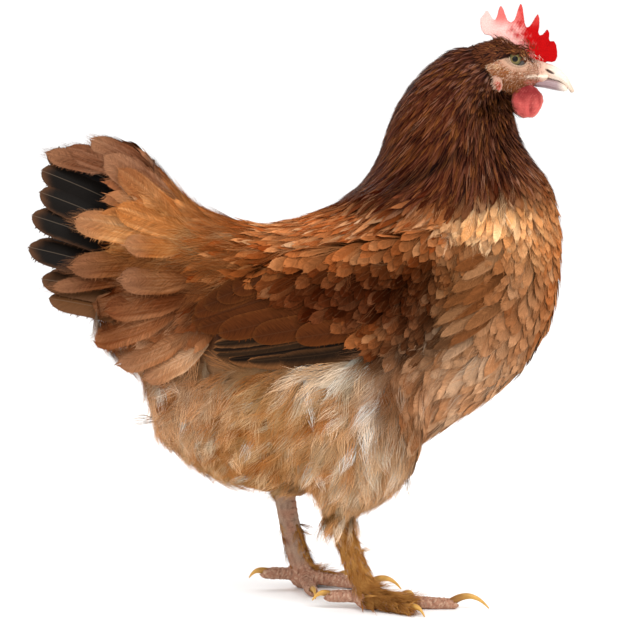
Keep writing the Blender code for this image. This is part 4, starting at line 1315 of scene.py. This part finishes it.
hackle_finish = feather_finish("hackle_vanes", pitch=18.0, contrast=1.3, shaft_mix=0.3, shaft_width=0.02,
                               shaft_colour=(0.30, 0.10, 0.03), roughness=0.42, gloss=0.03)
HACKLE = (hackle_finish, "hackle_feathers", NECK_AXIS)
GOLD = linear("a3602c")
HEM_RISE = np.array([0, 0, 14 * MM])  # the hackles keep the neck's colour down to their tips
HACKLE_ROOT = (0.38, 0.15, 0.65)  # how dark, and the shares of the length that it fades between


def painted_parting_shade(points):
    """Painted shade in the gap where the hackles part at the side of the neck, 1 elsewhere."""
    x, _, z = in_mm(points)
    gap = band(308 + 0.59 * (x - 86), 5, z) * ramp(50, 64, x) * ramp(120, 106, x)
    return (1 - 0.75 * gap)[:, None]


def hackle_tones(points, along, across, luck):
    """Mahogany, with golden edges on some feathers and lighter, redder ones among them."""
    fade = 0.42 * (luck[:, 0] * 2 - 1) + 0.14 * ripple(points, 12 * MM, 42)
    base = faded(plumage(points + HEM_RISE) * (0.72, 0.56, 0.55), fade)
    edge = ramp(0.3, 0.95, np.abs(across)) * ramp(0.3, 0.8, along)
    return mixed(base, GOLD, 0.6 * edge * ramp(0.6, 1.0, luck[:, 1])) * root_shade(along, *HACKLE_ROOT)


def strand_tones(points, along, across, luck):
    """Redder and lighter than the feathers under them."""
    base = faded(plumage(points + HEM_RISE) * (1.5, 1.2, 0.9), 1.2 * (luck[:, 0] - 0.5))
    return mixed(base, GOLD, 0.5 * ramp(0.8, 1.0, luck[:, 1])) * root_shade(along, *HACKLE_ROOT)


def throat_tones(points, along, across, luck):
    """The hackles' colours, darker."""
    return 0.55 * hackle_tones(points, along, across, luck)


def of_throat(places):
    """True under the chin, between the wattles."""
    x, _, z = in_mm(places)
    return (x > 130) & (x < 153) & (z > 357) & (z < 369)


tract("hackles", winged, of_hackles, 121, *HACKLE, spacing=0.55, width=0.87, rows=8, columns=3, steps=8,
      outline=pointed, sink=4.0, lift=0.2, rough=0.3, turn=0.09, fringe=12, fringe_reach=0.05,
      tones=hackle_tones, shadow=painted_parting_shade)
tract("hackle_strands", winged, of_hackles, 122, *HACKLE, spacing=0.85, sink=2.5, lift=0.6, rough=0.6,
      turn=0.16, strands=6, spread=0.5, strand_width=0.17, tones=strand_tones, shadow=painted_parting_shade)
tract("throat_feathers", winged, of_throat, 123, *HACKLE, spacing=0.5, sizes=(12, 2.6), rows=6, columns=3,
      outline=pointed, sink=2, lift=3.6, rough=0.8, turn=0.2, fringe=10, fringe_reach=0.08,
      tones=throat_tones)


# ---- Wing quills ----
# The folded wing: secondaries lie over the primaries like the leaves of a fan, each a stiff shaft with
# a broad vane. Their roots go under the coverts and the primaries' dark ends show along the lower edge.

outer = wings_only.normals[:, 1] * np.sign(wings_only.points[:, 1]) > 0.55
wing_places = wings_only.points[outer]


def wing_terms(x, z):
    """The terms of a quadratic surface in x and z, in units of 100 mm."""
    x, z = x / (100 * MM), (z - 0.22) / (100 * MM)
    return np.stack([np.ones_like(x), x, z, x * x, x * z, z * z], -1)


# The factors of those terms that fit how far out the wing's outer face lies.
WING_BOW, *_ = np.linalg.lstsq(
    wing_terms(wing_places[:, 0], wing_places[:, 2]), np.abs(wing_places[:, 1]), rcond=None
)


def wing_quills(tips, lean, length, inset_root, inset_tip, bow):
    """Middle lines on both wings' outer face, from roots found by a lean in degrees and a length to tips
    in x and z, bowed upwards, at the bow of the wing less an inset. Returns lines and outward normals,
    the right wing's first."""
    tips, lean = np.array(tips, float), np.radians(lean)
    roots = tips + np.array(length)[:, None] * np.stack([np.cos(lean), np.sin(lean)], 1)
    share = np.linspace(0, 1, QUILL_STEPS + 1)[None, :, None]
    rise = np.array([0, 1]) * (4 * bow * share * (1 - share))
    flat = roots[:, None] + share * (tips - roots)[:, None] + rise
    x, z = flat[..., 0] * MM, flat[..., 1] * MM
    spread = np.linspace(0, 1, len(tips))[:, None]
    root_inset, tip_inset = [low + (high - low) * spread for low, high in (inset_root, inset_tip)]
    y = wing_terms(x, z) @ WING_BOW - (root_inset + (tip_inset - root_inset) * share[..., 0]) * MM
    step = 0.5 * MM
    slope_x = (wing_terms(x + step, z) - wing_terms(x - step, z)) @ WING_BOW / (2 * step)
    slope_z = (wing_terms(x, z + step) - wing_terms(x, z - step)) @ WING_BOW / (2 * step)
    lines = [np.stack([x, side * y, z], -1) for side in (RIGHT, LEFT)]
    normals = [np.stack([-slope_x, side * np.ones_like(x), -slope_z], -1) for side in (RIGHT, LEFT)]
    return np.concatenate(lines), np.concatenate(normals)


QUILL_OUTLINE = rounded(shoulder=0.80, power=2.4, stem=0.22)  # even for most of its length


def quills(name, line, up, half_width, finish, slot, tones, draws, lopsided=0.0, spikes=60, camber=0.12):
    """Big stiff feathers, each with a large patch of its own on the map its colours are kept on."""
    flush = np.zeros(len(line))
    plumes = Plumes(line, up, half_width, QUILL_OUTLINE, flush, flush, camber, sweep=0.3, lopsided=lopsided)
    plumes.add_vanes(draws, rows=24, columns=9, ragged=0.006)
    plumes.add_fringe(draws, spikes, start=0.25, reach=0.02, width=0.008)
    return coat(name, plumes, tones, finish, slot, None, draws, *grid_of_patches(len(line)))


quill_finish = feather_finish("quill_vanes", pitch=11.0, contrast=1.5, shaft_width=0.04, shaft_mix=0.12,
                              shaft_colour=(0.16, 0.08, 0.04), gloss=0.01)

# Tips in x and z from the uppermost to the lowest, then their leans and lengths.
SECONDARY_TIPS = [(-35, 232), (-48, 228), (-59, 222), (-68, 216.5), (-75, 211), (-77, 205.5), (-72, 201),
                  (-58, 197.5), (-34, 195.5), (-4, 195.5)]
SECONDARY_LEANS = [19, 19.5, 20, 19.5, 18.5, 17, 15, 12.5, 9.5, 6.5]
SECONDARY_LENGTHS = [62, 70, 80, 92, 100, 104, 104, 106, 96, 78]
SECONDARY_HALF_WIDTH = 9.0 * MM
PRIMARY_TIPS = [(-61, 190), (-62, 186), (-59, 182.5), (-51, 179.5), (-37, 178.5), (-16, 180.5)]
PRIMARY_LEANS = [14, 13.5, 13, 12.5, 12, 12]
PRIMARY_LENGTHS = [150, 150, 146, 140, 130, 112]
PRIMARY_HALF_WIDTH = 7.0 * MM


def secondary_tones(points, along, across, luck):
    """Chestnut, a little greyer down the middle, with a paler, warmer rim."""
    rim = np.maximum(ramp(0.85, 1, np.abs(across)), ramp(0.97, 1, along))
    return layered(
        linear("4d260f"),
        (linear("3a1d0b"), luck[:, 0]),
        (linear("2c140a"), 0.4 * (1 - ramp(0.0, 0.7, np.abs(across)))),
        (linear("633819"), 0.35 * rim),
    )


def primary_tones(points, along, across, luck):
    """Brown-black, with a dull brown outer edge."""
    base = mixed(linear("140e0a"), linear("2b1d12"), luck[:, 0])
    edge = ramp(0.3, 0.75, np.abs(across)) * ramp(0.3, 0.6, along + 0.4 * luck[:, 2])
    return mixed(base, linear("70482a"), 0.9 * edge * ramp(0.0, 0.4, luck[:, 1]))


draws = np.random.default_rng(131)
line, up = wing_quills(SECONDARY_TIPS, SECONDARY_LEANS, SECONDARY_LENGTHS,
                       inset_root=(8.0, 5.5), inset_tip=(-1.5, 0.0), bow=1.0)
quills("secondaries", line, up, np.full(len(line), SECONDARY_HALF_WIDTH), quill_finish, "wing_feathers",
       secondary_tones, draws, lopsided=np.repeat((-0.1, 0.1), len(SECONDARY_TIPS)))
line, up = wing_quills(PRIMARY_TIPS, PRIMARY_LEANS, PRIMARY_LENGTHS,
                       inset_root=(5.5, 6.5), inset_tip=(1.5, 2.5), bow=-4.0)
primaries = quills("primaries", line, up, np.full(len(line), PRIMARY_HALF_WIDTH), quill_finish,
                   "wing_feathers", primary_tones, draws,
                   lopsided=np.repeat((0.25, -0.25), len(PRIMARY_TIPS)))
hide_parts(*both("wing"))


def of_coverts(places):
    """True on the wing, above the bare part of the quills."""
    return of_wing(places) & ~over_quills(places)


COVERT = (contour_finish, "wing_feathers", TRUNK_AXIS)
tract("wing_wisps", winged, of_coverts, 134, *COVERT, spacing=0.8, lift=0.8, **WISPS)
tract("wing_coverts", winged, of_coverts, 133, *COVERT, spacing=0.5, rows=8, columns=7, fringe=40,
      fringe_reach=0.07, outline=rounded(shoulder=0.7, power=2.6), sink=4.5, rough=0.5, turn=0.19,
      camber=0.15, tones=feather_tones(root_dark=0.4, rim=0.6, spread=0.16, warm=0.3))


# ---- Tail quills ----
# Seven pairs of stiff black rectrices with brown ends, spread like a tent: the middle pair stands
# highest and steepest, and each next one lies under it, lower and flatter.

tail_low, tail_high = [np.array(corner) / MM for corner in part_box("tail")]
# Each tip's distance in front of the tail's rearmost point and below its top, from the top pair down.
RECTRIX_TIPS = np.array([(11.5, 16), (8.0, 28), (7.5, 43), (2.2, 59), (0.2, 81), (10, 103), (16, 116)])
# From the top pair to the lowest: heights of the roots, how far out each end is, and degrees of lean.
RECTRIX_ROOT_X, RECTRIX_ROOT_HEIGHTS = -82, (272, 196)
RECTRIX_OUT_AT_TIP, RECTRIX_OUT_AT_ROOT = (4.0, 36.0), (3.0, 24.0)
RECTRIX_LEAN = (80, 48)
RECTRIX_BOW = 3.0  # how far up the middle of each is bowed
RECTRIX_DROP = 3.0  # how far in the lowest pair lies
RECTRIX_HALF_WIDTH = np.array([9.5, 10.5, 11, 11, 11, 10.5, 9.5])


def rectrix_lines():
    """Middle lines and normals, the right side's first: straight from root to tip but for the bow, the
    normal square to the line and to a direction across it that leans from pair to pair."""
    share = np.linspace(0, 1, len(RECTRIX_TIPS))
    out_at_tip, out_at_root, root_height, lean = [
        low + (high - low) * share
        for low, high in (RECTRIX_OUT_AT_TIP, RECTRIX_OUT_AT_ROOT, RECTRIX_ROOT_HEIGHTS, RECTRIX_LEAN)
    ]
    step = np.linspace(0, 1, QUILL_STEPS + 1)[None, :, None]
    bow = np.array([0, 0, 1]) * 4 * RECTRIX_BOW * step * (1 - step)
    lean = np.radians(lean)
    lines, normals = [], []
    for side in (RIGHT, LEFT):
        tip = np.stack([tail_low[0] + RECTRIX_TIPS[:, 0], side * out_at_tip,
                        tail_high[2] - RECTRIX_TIPS[:, 1]], 1)
        root = np.stack([0 * share + RECTRIX_ROOT_X, side * out_at_root, root_height], 1)
        across = np.stack([0 * lean, side * np.cos(lean), -np.sin(lean)], 1)
        normal = unit(np.cross(across, tip - root)) * side
        line = (root[:, None] + step * (tip - root)[:, None] + bow) * MM
        lines.append(line - (RECTRIX_DROP * share * MM)[:, None, None] * normal[:, None])
        normals.append(np.repeat(normal[:, None], QUILL_STEPS + 1, 1))
    return np.concatenate(lines), np.concatenate(normals)


rectrix_finish = feather_finish("tail_vanes", shaft_width=0.04, shaft_mix=0.4,
                                shaft_colour=(0.22, 0.16, 0.11), roughness=0.45, gloss=0.05)


def rectrix_tones(points, along, across, luck):
    """Black, with a brown tip and edge."""
    tip = ramp(0.92, 1.03, along + 0.05 * np.abs(across))
    return layered(
        linear("0b0908"),
        (linear("16120f"), luck[:, 0]),
        (linear("6a4427"), 0.75 * ramp(232 * MM, 222 * MM, points[:, 2])),
        (linear("5f3f2a"), 0.7 * np.maximum(tip, 0.7 * ramp(0.85, 1, np.abs(across)))),
    )


rectrices = quills("tail_quills", *rectrix_lines(), np.tile(RECTRIX_HALF_WIDTH, 2) * MM, rectrix_finish,
                   "tail_feathers", rectrix_tones, np.random.default_rng(141), spikes=90, camber=0.18)
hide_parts("tail")


# ---- Tail coverts ----
# Soft orange feathers over the root of the tail, in a fan like the quills under them. The last ones are
# long and broad, with pale pinkish-brown ends.

TAIL_COAT = (contour_finish, "tail_feathers", TRUNK_AXIS)
full_form = ground_of(cast_from("full_form", torso, FORM_VOXEL, smoothing=4))


def of_tail_root(places):
    """True over the roots of the tail's quills."""
    x, _, z = in_mm(places)
    return of_tail(places) & (x > -100) & (z > 202 + 0.35 * (x + 60))


tract("tail_coverts", body, of_tail_root, 113, *TAIL_COAT, spacing=0.42, length=0.75, width=0.7, rows=8,
      fringe=48, fringe_reach=0.14, sink=5.5, lift=0.2, rough=0.3, turn=0.2, camber=0.1,
      tones=feather_tones(root_dark=0.42, rim=0.2, spread=0.16, warm=0.4, mottle=0.25))

LAST_COVERTS = np.array([
    (-150, 332, -104, 312, 8, 0), (-168, 326, -112, 308, 8, 1), (-139, 320, -82, 282, 11, 4),
    (-129, 311, -76, 266, 9, 5), (-161, 276, -84, 263, 11, 7), (-130, 284, -72, 264, 10, 7),
    (-164, 243, -88, 250, 10, 6), (-124, 259, -74, 258, 9, 8), (-176, 228, -100, 240, 6, 2),
    (-158, 212, -92, 228, 8, 4), (-149, 190, -84, 214, 11, 8), (-138, 213, -72, 224, 11, 9),
    (-130, 173, -74, 200, 11, 9), (-112, 164, -66, 190, 10, 9), (-128, 234, -66, 236, 11, 9),
    (-182, 322, -124, 311, 7.5, 0.5),
])


def last_tones(points, along, across, luck):
    """Orange-brown, then pale pinkish brown towards the end."""
    streak = np.sin(41 * across + 30 * luck[:, 2]) * np.sin(67 * across + 3 * along)
    fade = 0.15 * (luck[:, 0] - 0.5) + 0.22 * streak + 0.2 * ripple(points, 9 * MM, 43)
    base = faded(plumage(points) * 1.15, fade)
    base = mixed(base, linear("8f6347"), 0.7 * ramp(0.55, 0.95, along) * ramp(0.1, 0.6, luck[:, 1]))
    return base * root_shade(along, 0.4, 0.0, 0.5)


covering("last_coverts", full_form, LAST_COVERTS, "tail_feathers", 143, facing=(0, 1, 0.45), strands=130,
         outline=rounded(shoulder=0.72, power=2.4, stem=0.4), tones=last_tones)


def of_rump(places):
    """True over the root of the tail and in front of it as far as the wings' ends."""
    x, _, z = in_mm(places)
    return (x < -28) & (x > -100 + 14 * ramp(255, 275, z)) & (z > 190) & ~of_wing(places) & ~of_fluff(places)


tract("tail_wisps", body, of_rump, 144, *TAIL_COAT, spacing=0.27, length=0.9, sink=2.5, lift=1.6, rough=1.0,
      turn=0.3, strands=22, spread=0.5,
      tones=feather_tones(root_dark=0.4, rim=0.3, spread=0.25, warm=0.6, brightness=1.05))


# ---- Eyes ----
# A wet ball behind the lids: round black pupil, olive and amber iris with fine rays, dark rim.

EYE_RINGS, EYE_SECTORS = 39, 56
PUPIL, IRIS, LIMBUS = 2.05, 4.3, 4.6
GAZE = (-0.31, -0.04)  # the pupil's place from the middle of the ball, in x and z, as shares of its radius


def tube_faces(rings, sides):
    """Faces between rings of points that follow each other, four corners each, and those that close the
    first and last ring to a point, three each. The two end points come after the rings."""
    around = np.arange(sides)
    beside = (around + 1) % sides
    start = np.arange(rings - 1)[:, None] * sides
    walls = np.stack([start + around, start + beside, start + sides + beside, start + sides + around], -1)
    last, pole = (rings - 1) * sides, np.full(sides, rings * sides)
    first_cap = np.stack([beside, around, pole], 1)
    last_cap = np.stack([last + around, last + beside, pole + 1], 1)
    return walls.reshape(-1, 4), np.concatenate([first_cap, last_cap])


polar, turn = np.meshgrid(np.linspace(0, math.pi, EYE_RINGS + 2)[1:-1],
                          np.linspace(0, 2 * math.pi, EYE_SECTORS, endpoint=False), indexing="ij")
ball_shape = np.stack([np.sin(polar) * np.cos(turn), np.cos(polar), np.sin(polar) * np.sin(turn)], -1)
ball_shape = np.concatenate([ball_shape.reshape(-1, 3), [(0, 1, 0), (0, -1, 0)]])
from_gaze = np.hypot(ball_shape[:, 0] - GAZE[0], ball_shape[:, 2] - GAZE[1]) * EYE_RADIUS
from_gaze = np.where(ball_shape[:, 1] < 0, 3 * EYE_RADIUS, from_gaze)
rays = np.sin(np.arctan2(ball_shape[:, 2], ball_shape[:, 0]) * 23) * 0.5 + 0.5
iris_tone = layered(
    linear("625d3b"),
    (linear("403820"), 0.5 * rays),
    (linear("9a8046"), 0.45 * band(PUPIL + 0.5, 0.4, from_gaze)),
)
eye_tone = layered(
    np.full(3, 0.003),
    (iris_tone, ramp(PUPIL - 0.12, PUPIL + 0.12, from_gaze)),
    (linear("1c1610"), ramp(IRIS - 0.35, IRIS + 0.25, from_gaze)),
    (linear("4b4542"), ramp(LIMBUS, LIMBUS + 0.5, from_gaze)),
)
eye_finish, tree, shader = new_finish("wet_eye", Roughness=0.1, Coat_Weight=0.1, Coat_Roughness=0.03,
                                      Specular_IOR_Level=0.1)
tone_in = node(tree, "ShaderNodeAttribute", attribute_name="tone")
tree.links.new(tone_in.outputs["Color"], shader.inputs["Base Color"])
for name, side in zip(SIDES, (RIGHT, LEFT)):
    shape = (EYE_CENTRE + EYE_RADIUS * ball_shape) * (1, side, 1) * MM
    faces = [block[:, ::side] for block in tube_faces(EYE_RINGS, EYE_SECTORS)]
    eye = new_piece(f"eye_ball_{name}", shape, faces, eye_finish)
    set_tone(eye.data, eye_tone)
    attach(eye, "root")
    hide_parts(f"eye_{name}")


# ---- Bill ----
# Two horn sheaths: the upper hooks over the lower and has a slit nostril under a small flap on each
# side. Pale horn, pinker at the root where the skin ends, brownish at the tip.

BILL_VOXEL = 0.34 * MM
FLAP, NOSTRIL_DEPTH, FLAP_GAP = 0.35, 1.0, (0.5, 1.6)  # heights, and the flap's place from the nostril's
HOOK = 2.2  # how far the upper half's tip bends down
horn_finish, tree, shader = new_finish("horn", Roughness=0.38, Specular_IOR_Level=0.35)
place_in = node(tree, "ShaderNodeTexCoord").outputs["Object"]
stretched = node(tree, "ShaderNodeMapping", {"Vector": place_in, "Scale": (250, 1400, 1400)}).outputs[0]
growth = node(tree, "ShaderNodeTexNoise", {"Vector": stretched, "Scale": 1.0, "Detail": 3.0})
dress(tree, shader, toned(tree, noise_shade(tree, growth, 0.86, 1.06)), growth.outputs["Fac"], 0.25, 0.1 * MM)

for name in ("bill_upper", "bill_lower"):
    mesh = cast_from(name, [name], BILL_VOXEL, smoothing=6)
    places, normals = points_of(mesh), normals_of(mesh)
    x, _, z = in_mm(places)
    horn = mixed(HORN_ROOT, linear("e9d8c6"), ramp(173, 184, x))
    horn = mixed(horn, linear("b58a66"), 0.6 * ramp(188, 195, x))
    if name == "bill_upper":
        hole = nostril(x, z)
        flap = nostril(x - FLAP_GAP[0], z - FLAP_GAP[1])
        places = places + ((FLAP * flap - NOSTRIL_DEPTH * hole) * MM)[:, None] * normals
        places[:, 2] -= HOOK * ramp(185, 196, x) * MM
        # Painted shade in the nostril's slit.
        horn = mixed(horn, NOSTRIL_SHADE, hole)
    else:
        places[:, 2] += 1.3 * ramp(0.2, 0.8, normals[:, 2]) * MM
        horn = mixed(horn, linear("84696f"), 0.9 * (1 - ramp(181, 190, x)))
    bill = new_piece(f"horn_{name}", places, [triangles_of(mesh)], horn_finish)
    set_tone(bill.data, horn)
    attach(bill, "root")
    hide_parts(name)


# ---- Claws ----
# A curved sheath of yellow horn on the end of each toe, darker at the root and paler towards the tip.

CLAW_RINGS, CLAW_SIDES = 22, 14
CLAW_TIP = 0.16  # share of the root's radius left at the tip
CLAW_ARCH = 0.35  # four times the rise of the middle over a claw's length
CLAW_SWELL, CLAW_FLAT = 1.25, 0.8  # its radius over the toe's, and its width over its height
claw_nodes = [f"claw_{side}_{number}" for side in SIDES for number in (1, 2, 3, 4)]
step = np.linspace(0, 1, CLAW_RINGS)
spin = np.linspace(0, 2 * math.pi, CLAW_SIDES, endpoint=False)


def claw_points(name):
    """Rings round a curve along one claw, which follows the CAD claw's own rise and drift as polynomials
    of the share of its length, with an arch added, and a point at each end."""
    fit, value = np.polynomial.polynomial.polyfit, np.polynomial.polynomial.polyval
    shape = points_of(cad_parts[name].data)
    middle = shape.mean(0)
    foot = np.array([*FEET[name.split("_")[1]], 0]) * MM
    way = unit((middle - foot) * (1, 1, 0))
    if name.endswith("_1"):
        way = unit(np.array([-1.0, way[1] * 0.2, 0]))
    aside = np.cross((0, 0, 1), way)
    reach = (shape - middle) @ way
    low, high = reach.min(), reach.max()
    share = (reach - low) / (high - low)
    rise, drift = fit(share, shape[:, 2], 3), fit(share, (shape - middle) @ aside, 2)
    near_root = shape[share < 0.25, 2]
    radii = CLAW_SWELL * 0.5 * (near_root.max() - near_root.min()) * (1 - (1 - CLAW_TIP) * step**1.5)
    spine = middle + np.outer(low + step * (high - low), way) + np.outer(value(step, drift), aside)
    arch = CLAW_ARCH * (high - low) * step * (1 - step)
    spine[:, 2] = np.maximum(value(step, rise) + arch, radii)
    ahead = unit(np.gradient(spine, axis=0))
    lift = unit(np.cross(ahead, aside[None]))
    spoke = CLAW_FLAT * np.cos(spin)[:, None] * aside + np.sin(spin)[:, None] * lift[:, None]
    rings = spine[:, None] + radii[:, None, None] * spoke
    ends = np.stack([spine[0] - ahead[0] * radii[0], spine[-1] + ahead[-1] * radii[-1]])
    return np.concatenate([rings.reshape(-1, 3), ends])


points = np.concatenate([claw_points(name) for name in claw_nodes])
walls, caps = tube_faces(CLAW_RINGS, CLAW_SIDES)
claw_faces = np.concatenate([walls[:, :3], walls[:, [0, 2, 3]], caps])
starts = np.arange(0, len(points), len(points) // len(claw_nodes))
faces = np.concatenate([claw_faces + start for start in starts])
along = np.tile(np.append(np.repeat(step, CLAW_SIDES), (0, 1)), len(claw_nodes))
claws = new_piece("claw_sheaths", points, [faces], horn_finish)
towards_tip = ramp(0.0, 0.75, along + 0.15 * ripple(points, 5 * MM, 31))
set_tone(claws.data, mixed(linear("7d4f1a"), linear("cd9c4a"), towards_tip))
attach(claws, "root")
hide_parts(*claw_nodes)


# ---- Head feathers ----
# Tiny close feathers on the crown, cheeks and throat, a buff tuft over the ear, and on the bare face
# only scattered bristles.

FACE = (hackle_finish, "face_skin", NECK_AXIS)
FLESH_MARGIN = 1.3 * MM
face = Ground(head_points, head_normals, triangles_of(head_mesh))


def on_flesh(places):
    """True on the comb, the wattles and the earlobes."""
    return np.min([ground.distance(places) for ground in flesh_grounds], 0) < FLESH_MARGIN


def eye_share_at(places):
    """How far out from the middle of the eye's opening each place is, as a share of it."""
    return eye_frame(places)[0]


def head_tones(points, along, across, luck):
    """Chestnut, with rusty gold edges over the brow and a buff tuft over the ear."""
    x, _, z = in_mm(points)
    brow = band(397.0 - 0.62 * np.clip(x - 156, 0, 12), 2.2, z) * ramp(146, 154, x)
    rim = ramp(0.4, 1, np.abs(across)) * ramp(0.4, 0.9, along)
    base = layered(
        plumage(points) * (0.6 + 0.7 * luck[:, :1]),
        (linear("b4713a"), 0.85 * brow * ramp(0.1, 0.7, luck[:, 1])),
        (linear("8a4c26"), 0.35 * rim),
    )
    return base * root_shade(along, 0.5, 0.1, 0.6)


def of_cap(places):
    """True on the feathered part of the head."""
    feathery = (face_share(places) < 0.5) & (eye_share_at(places) > 1.25)
    return of_head(places) & feathery & ~on_flesh(places)


tract("head_feathers", face, of_cap, 151, *HACKLE, spacing=0.5, length=1.15, rows=5, columns=3, steps=4,
      outline=pointed, sink=0.5, lift=1.0, turn=0.2, fringe=4, fringe_reach=0.12, tones=head_tones)

# Name, middle x and z, reach in x and z, the way they point in degrees, length, width, spacing, how far
# from the eye's opening they start, and colour.
TUFTS = (
    ("ear_tuft", 139.0, 384.6, 4.6, 1.0, 186, 5.0, 0.5, 0.6, 1.7, "c7a079"),
    ("cheek_tuft", 144, 380.5, 5.5, 3.6, 200, 4.5, 0.6, 0.8, 1.5, "8c4f24"),
    ("low_cheek", 148, 370.0, 9.0, 6.0, 215, 4.5, 0.55, 1.1, 1.7, "6e3a1c"),
    ("ear_ring", 138, 374.5, 3.4, 5.0, 236, 4.0, 0.5, 0.8, 1.7, "c3a08c"),
    ("chin_tuft", 146.5, 365.0, 4.0, 3.5, 282, 8.0, 0.9, 0.7, 1.7, "1f0d07"),
    # Dark brown, darkened further as painted shadow over the eye.
    ("brow_feathers", 155, 396.4, 9.5, 3.4, 190, 5.0, 1.0, 0.8, 1.15, "3a1a0c"),
    ("brow_edge", 158.5, 391.6, 6.0, 2.0, 150, 3.6, 0.45, 0.9, 1.1, "b07a4a"),
    ("crown_gold", 143, 398.5, 11.0, 6.0, 166, 6.5, 0.4, 1.2, 1.4, "8a5530"),
    ("lore_bristles", 167, 385.0, 5.0, 5.0, 120, 3.2, 0.35, 1.5, 1.7, "7a4a34"),
    ("lore_white", 169, 386.0, 5.0, 4.5, 128, 3.6, 0.35, 1.2, 1.7, "e6cdbd"),
    ("comb_bristles", 163, 393.5, 5.5, 6.5, 122, 6.0, 0.4, 1.1, 1.7, "5a2415"),
    ("comb_whites", 152, 402.5, 8.0, 6.0, 140, 6.0, 0.35, 2.4, 1.7, "d8a898"),
)


def tuft(seed, name, middle_x, middle_z, reach_x, reach_z, angle, long, wide, spacing, clear, colour):
    """One tuft, on both sides of the head: feathers rooted in an oval that all point the same way."""
    heading = math.radians(angle)

    def inside(places):
        x, out, z = in_mm(places)
        oval = np.hypot((x - middle_x) / reach_x, (z - middle_z) / reach_z) < 1
        return oval & (eye_share_at(places) > clear) & (out > 1.5)

    def tones(points, along, across, luck):
        return linear(colour) * (0.7 + 0.6 * luck[:, :1]) * root_shade(along, 0.6, 0, 0.5)

    tract(name, face, inside, seed, *FACE, spacing=spacing / wide, sizes=(long, wide), rows=4, columns=3,
          outline=pointed, sink=0.2, lift=0.7, turn=0.3, steps=4, tones=tones,
          way=steady((math.cos(heading), 0.0, math.sin(heading))))


for number, row in enumerate(TUFTS):
    tuft(160 + number, *row)


def of_face(places):
    """True on the bare face, clear of the lids."""
    clear = (eye_share_at(places) > 1.6) & (places[:, 0] < 170 * MM)
    return (face_share(places) > 0.5) & clear & ~on_flesh(places)


def bristle_tones(points, along, across, luck):
    """White, buff and rust, mixed by chance."""
    pick = luck[:, 0] + 0.3 * ramp(383, 370, points[:, 2] / MM)
    rust_share, dark_share = ramp(0.3, 0.55, pick), ramp(0.65, 0.8, pick)
    return layered(linear("dcc2a8"), (linear("94562a"), rust_share), (linear("44210f"), dark_share))


tract("face_bristles", face, of_face, 171, *FACE, spacing=1.75, sizes=(2.4, 0.24), rows=4, columns=2, steps=3,
      outline=pointed, sink=0.1, lift=0.45, rough=0.2, turn=0.4, tones=bristle_tones)


# ---- Leg feathers ----
# Straw-buff feathers down the outside of each shank, ending in a clump over the outer toe.

leg_ground = Ground(leg_points, leg_normals, triangles_of(leg_mesh))
SHANK_WAY, TOE_WAY = np.array([0.34, 0.0, -0.94]), np.array([0.80, 0.45, -0.22])


def leg_way(places):
    """Down the shank, then forwards and outwards along the outer toe."""
    share = ramp(26, 14, places[:, 2] / MM)[:, None]
    return unit((1 - share) * SHANK_WAY + share * TOE_WAY * np.sign(places[:, 1:2]) ** (0, 1, 0))


def of_leg_feathers(places):
    """The outer and front side of each shank, and the root of the outer toe."""
    x, out = from_foot(places)
    z = places[:, 2] / MM
    right = places[:, 1] < 0
    outer_side = out + 0.35 * (x + 0.366 * (z - 10)) > -1.5
    shank = (z > 16) & (z < np.where(right, 68, 52)) & outer_side
    toe = (z > 3) & (z <= 18) & (x > -8) & (x < np.where(right, 24, 14)) & (out > 0.15 * x - 2) & (out < 24)
    return shank | toe


def of_toe_tuft(places):
    """The outer side of the right foot's root, and the front of the left one."""
    x, out = from_foot(places)
    z = places[:, 2] / MM
    right = places[:, 1] < 0
    outside = right & (z > 5) & (z < 26) & (x > -8) & (x < 20) & (out > 0)
    front = ~right & (z > 14) & (z < 40) & (x > 2) & (out > -2)
    return outside | front


def straw_tones(points, along, across, luck):
    """Straw, with some browner feathers."""
    base = mixed(linear("915a29"), linear("c08b4c"), luck[:, 0])
    return mixed(base, linear("73431f"), ramp(0.75, 0.95, luck[:, 1])) * root_shade(along, 0.45, 0.1, 0.7)


STRAW = {"tones": straw_tones, "way": leg_way, "above": 0.4 * MM}
tract("shank_feathers", leg_ground, of_leg_feathers, 181, *FLUFF, spacing=0.8, sizes=(14, 1.8), rows=6,
      columns=3, outline=pointed, sink=0.8, lift=0.8, rough=0.5, turn=0.25, fringe=24, fringe_reach=0.2,
      **STRAW)
tract("shank_hairs", leg_ground, of_leg_feathers, 182, *FLUFF, spacing=0.55, sizes=(15, 3.4), sink=0.6,
      lift=2.6, rough=1.8, turn=0.45, strands=14, strand_width=0.16, **STRAW)
tract("toe_tufts", leg_ground, of_toe_tuft, 183, *FLUFF, spacing=0.5, sizes=(21, 4.8), sink=0.6, lift=5.5,
      rough=2.2, turn=0.35, strands=18, strand_width=0.18, **STRAW)
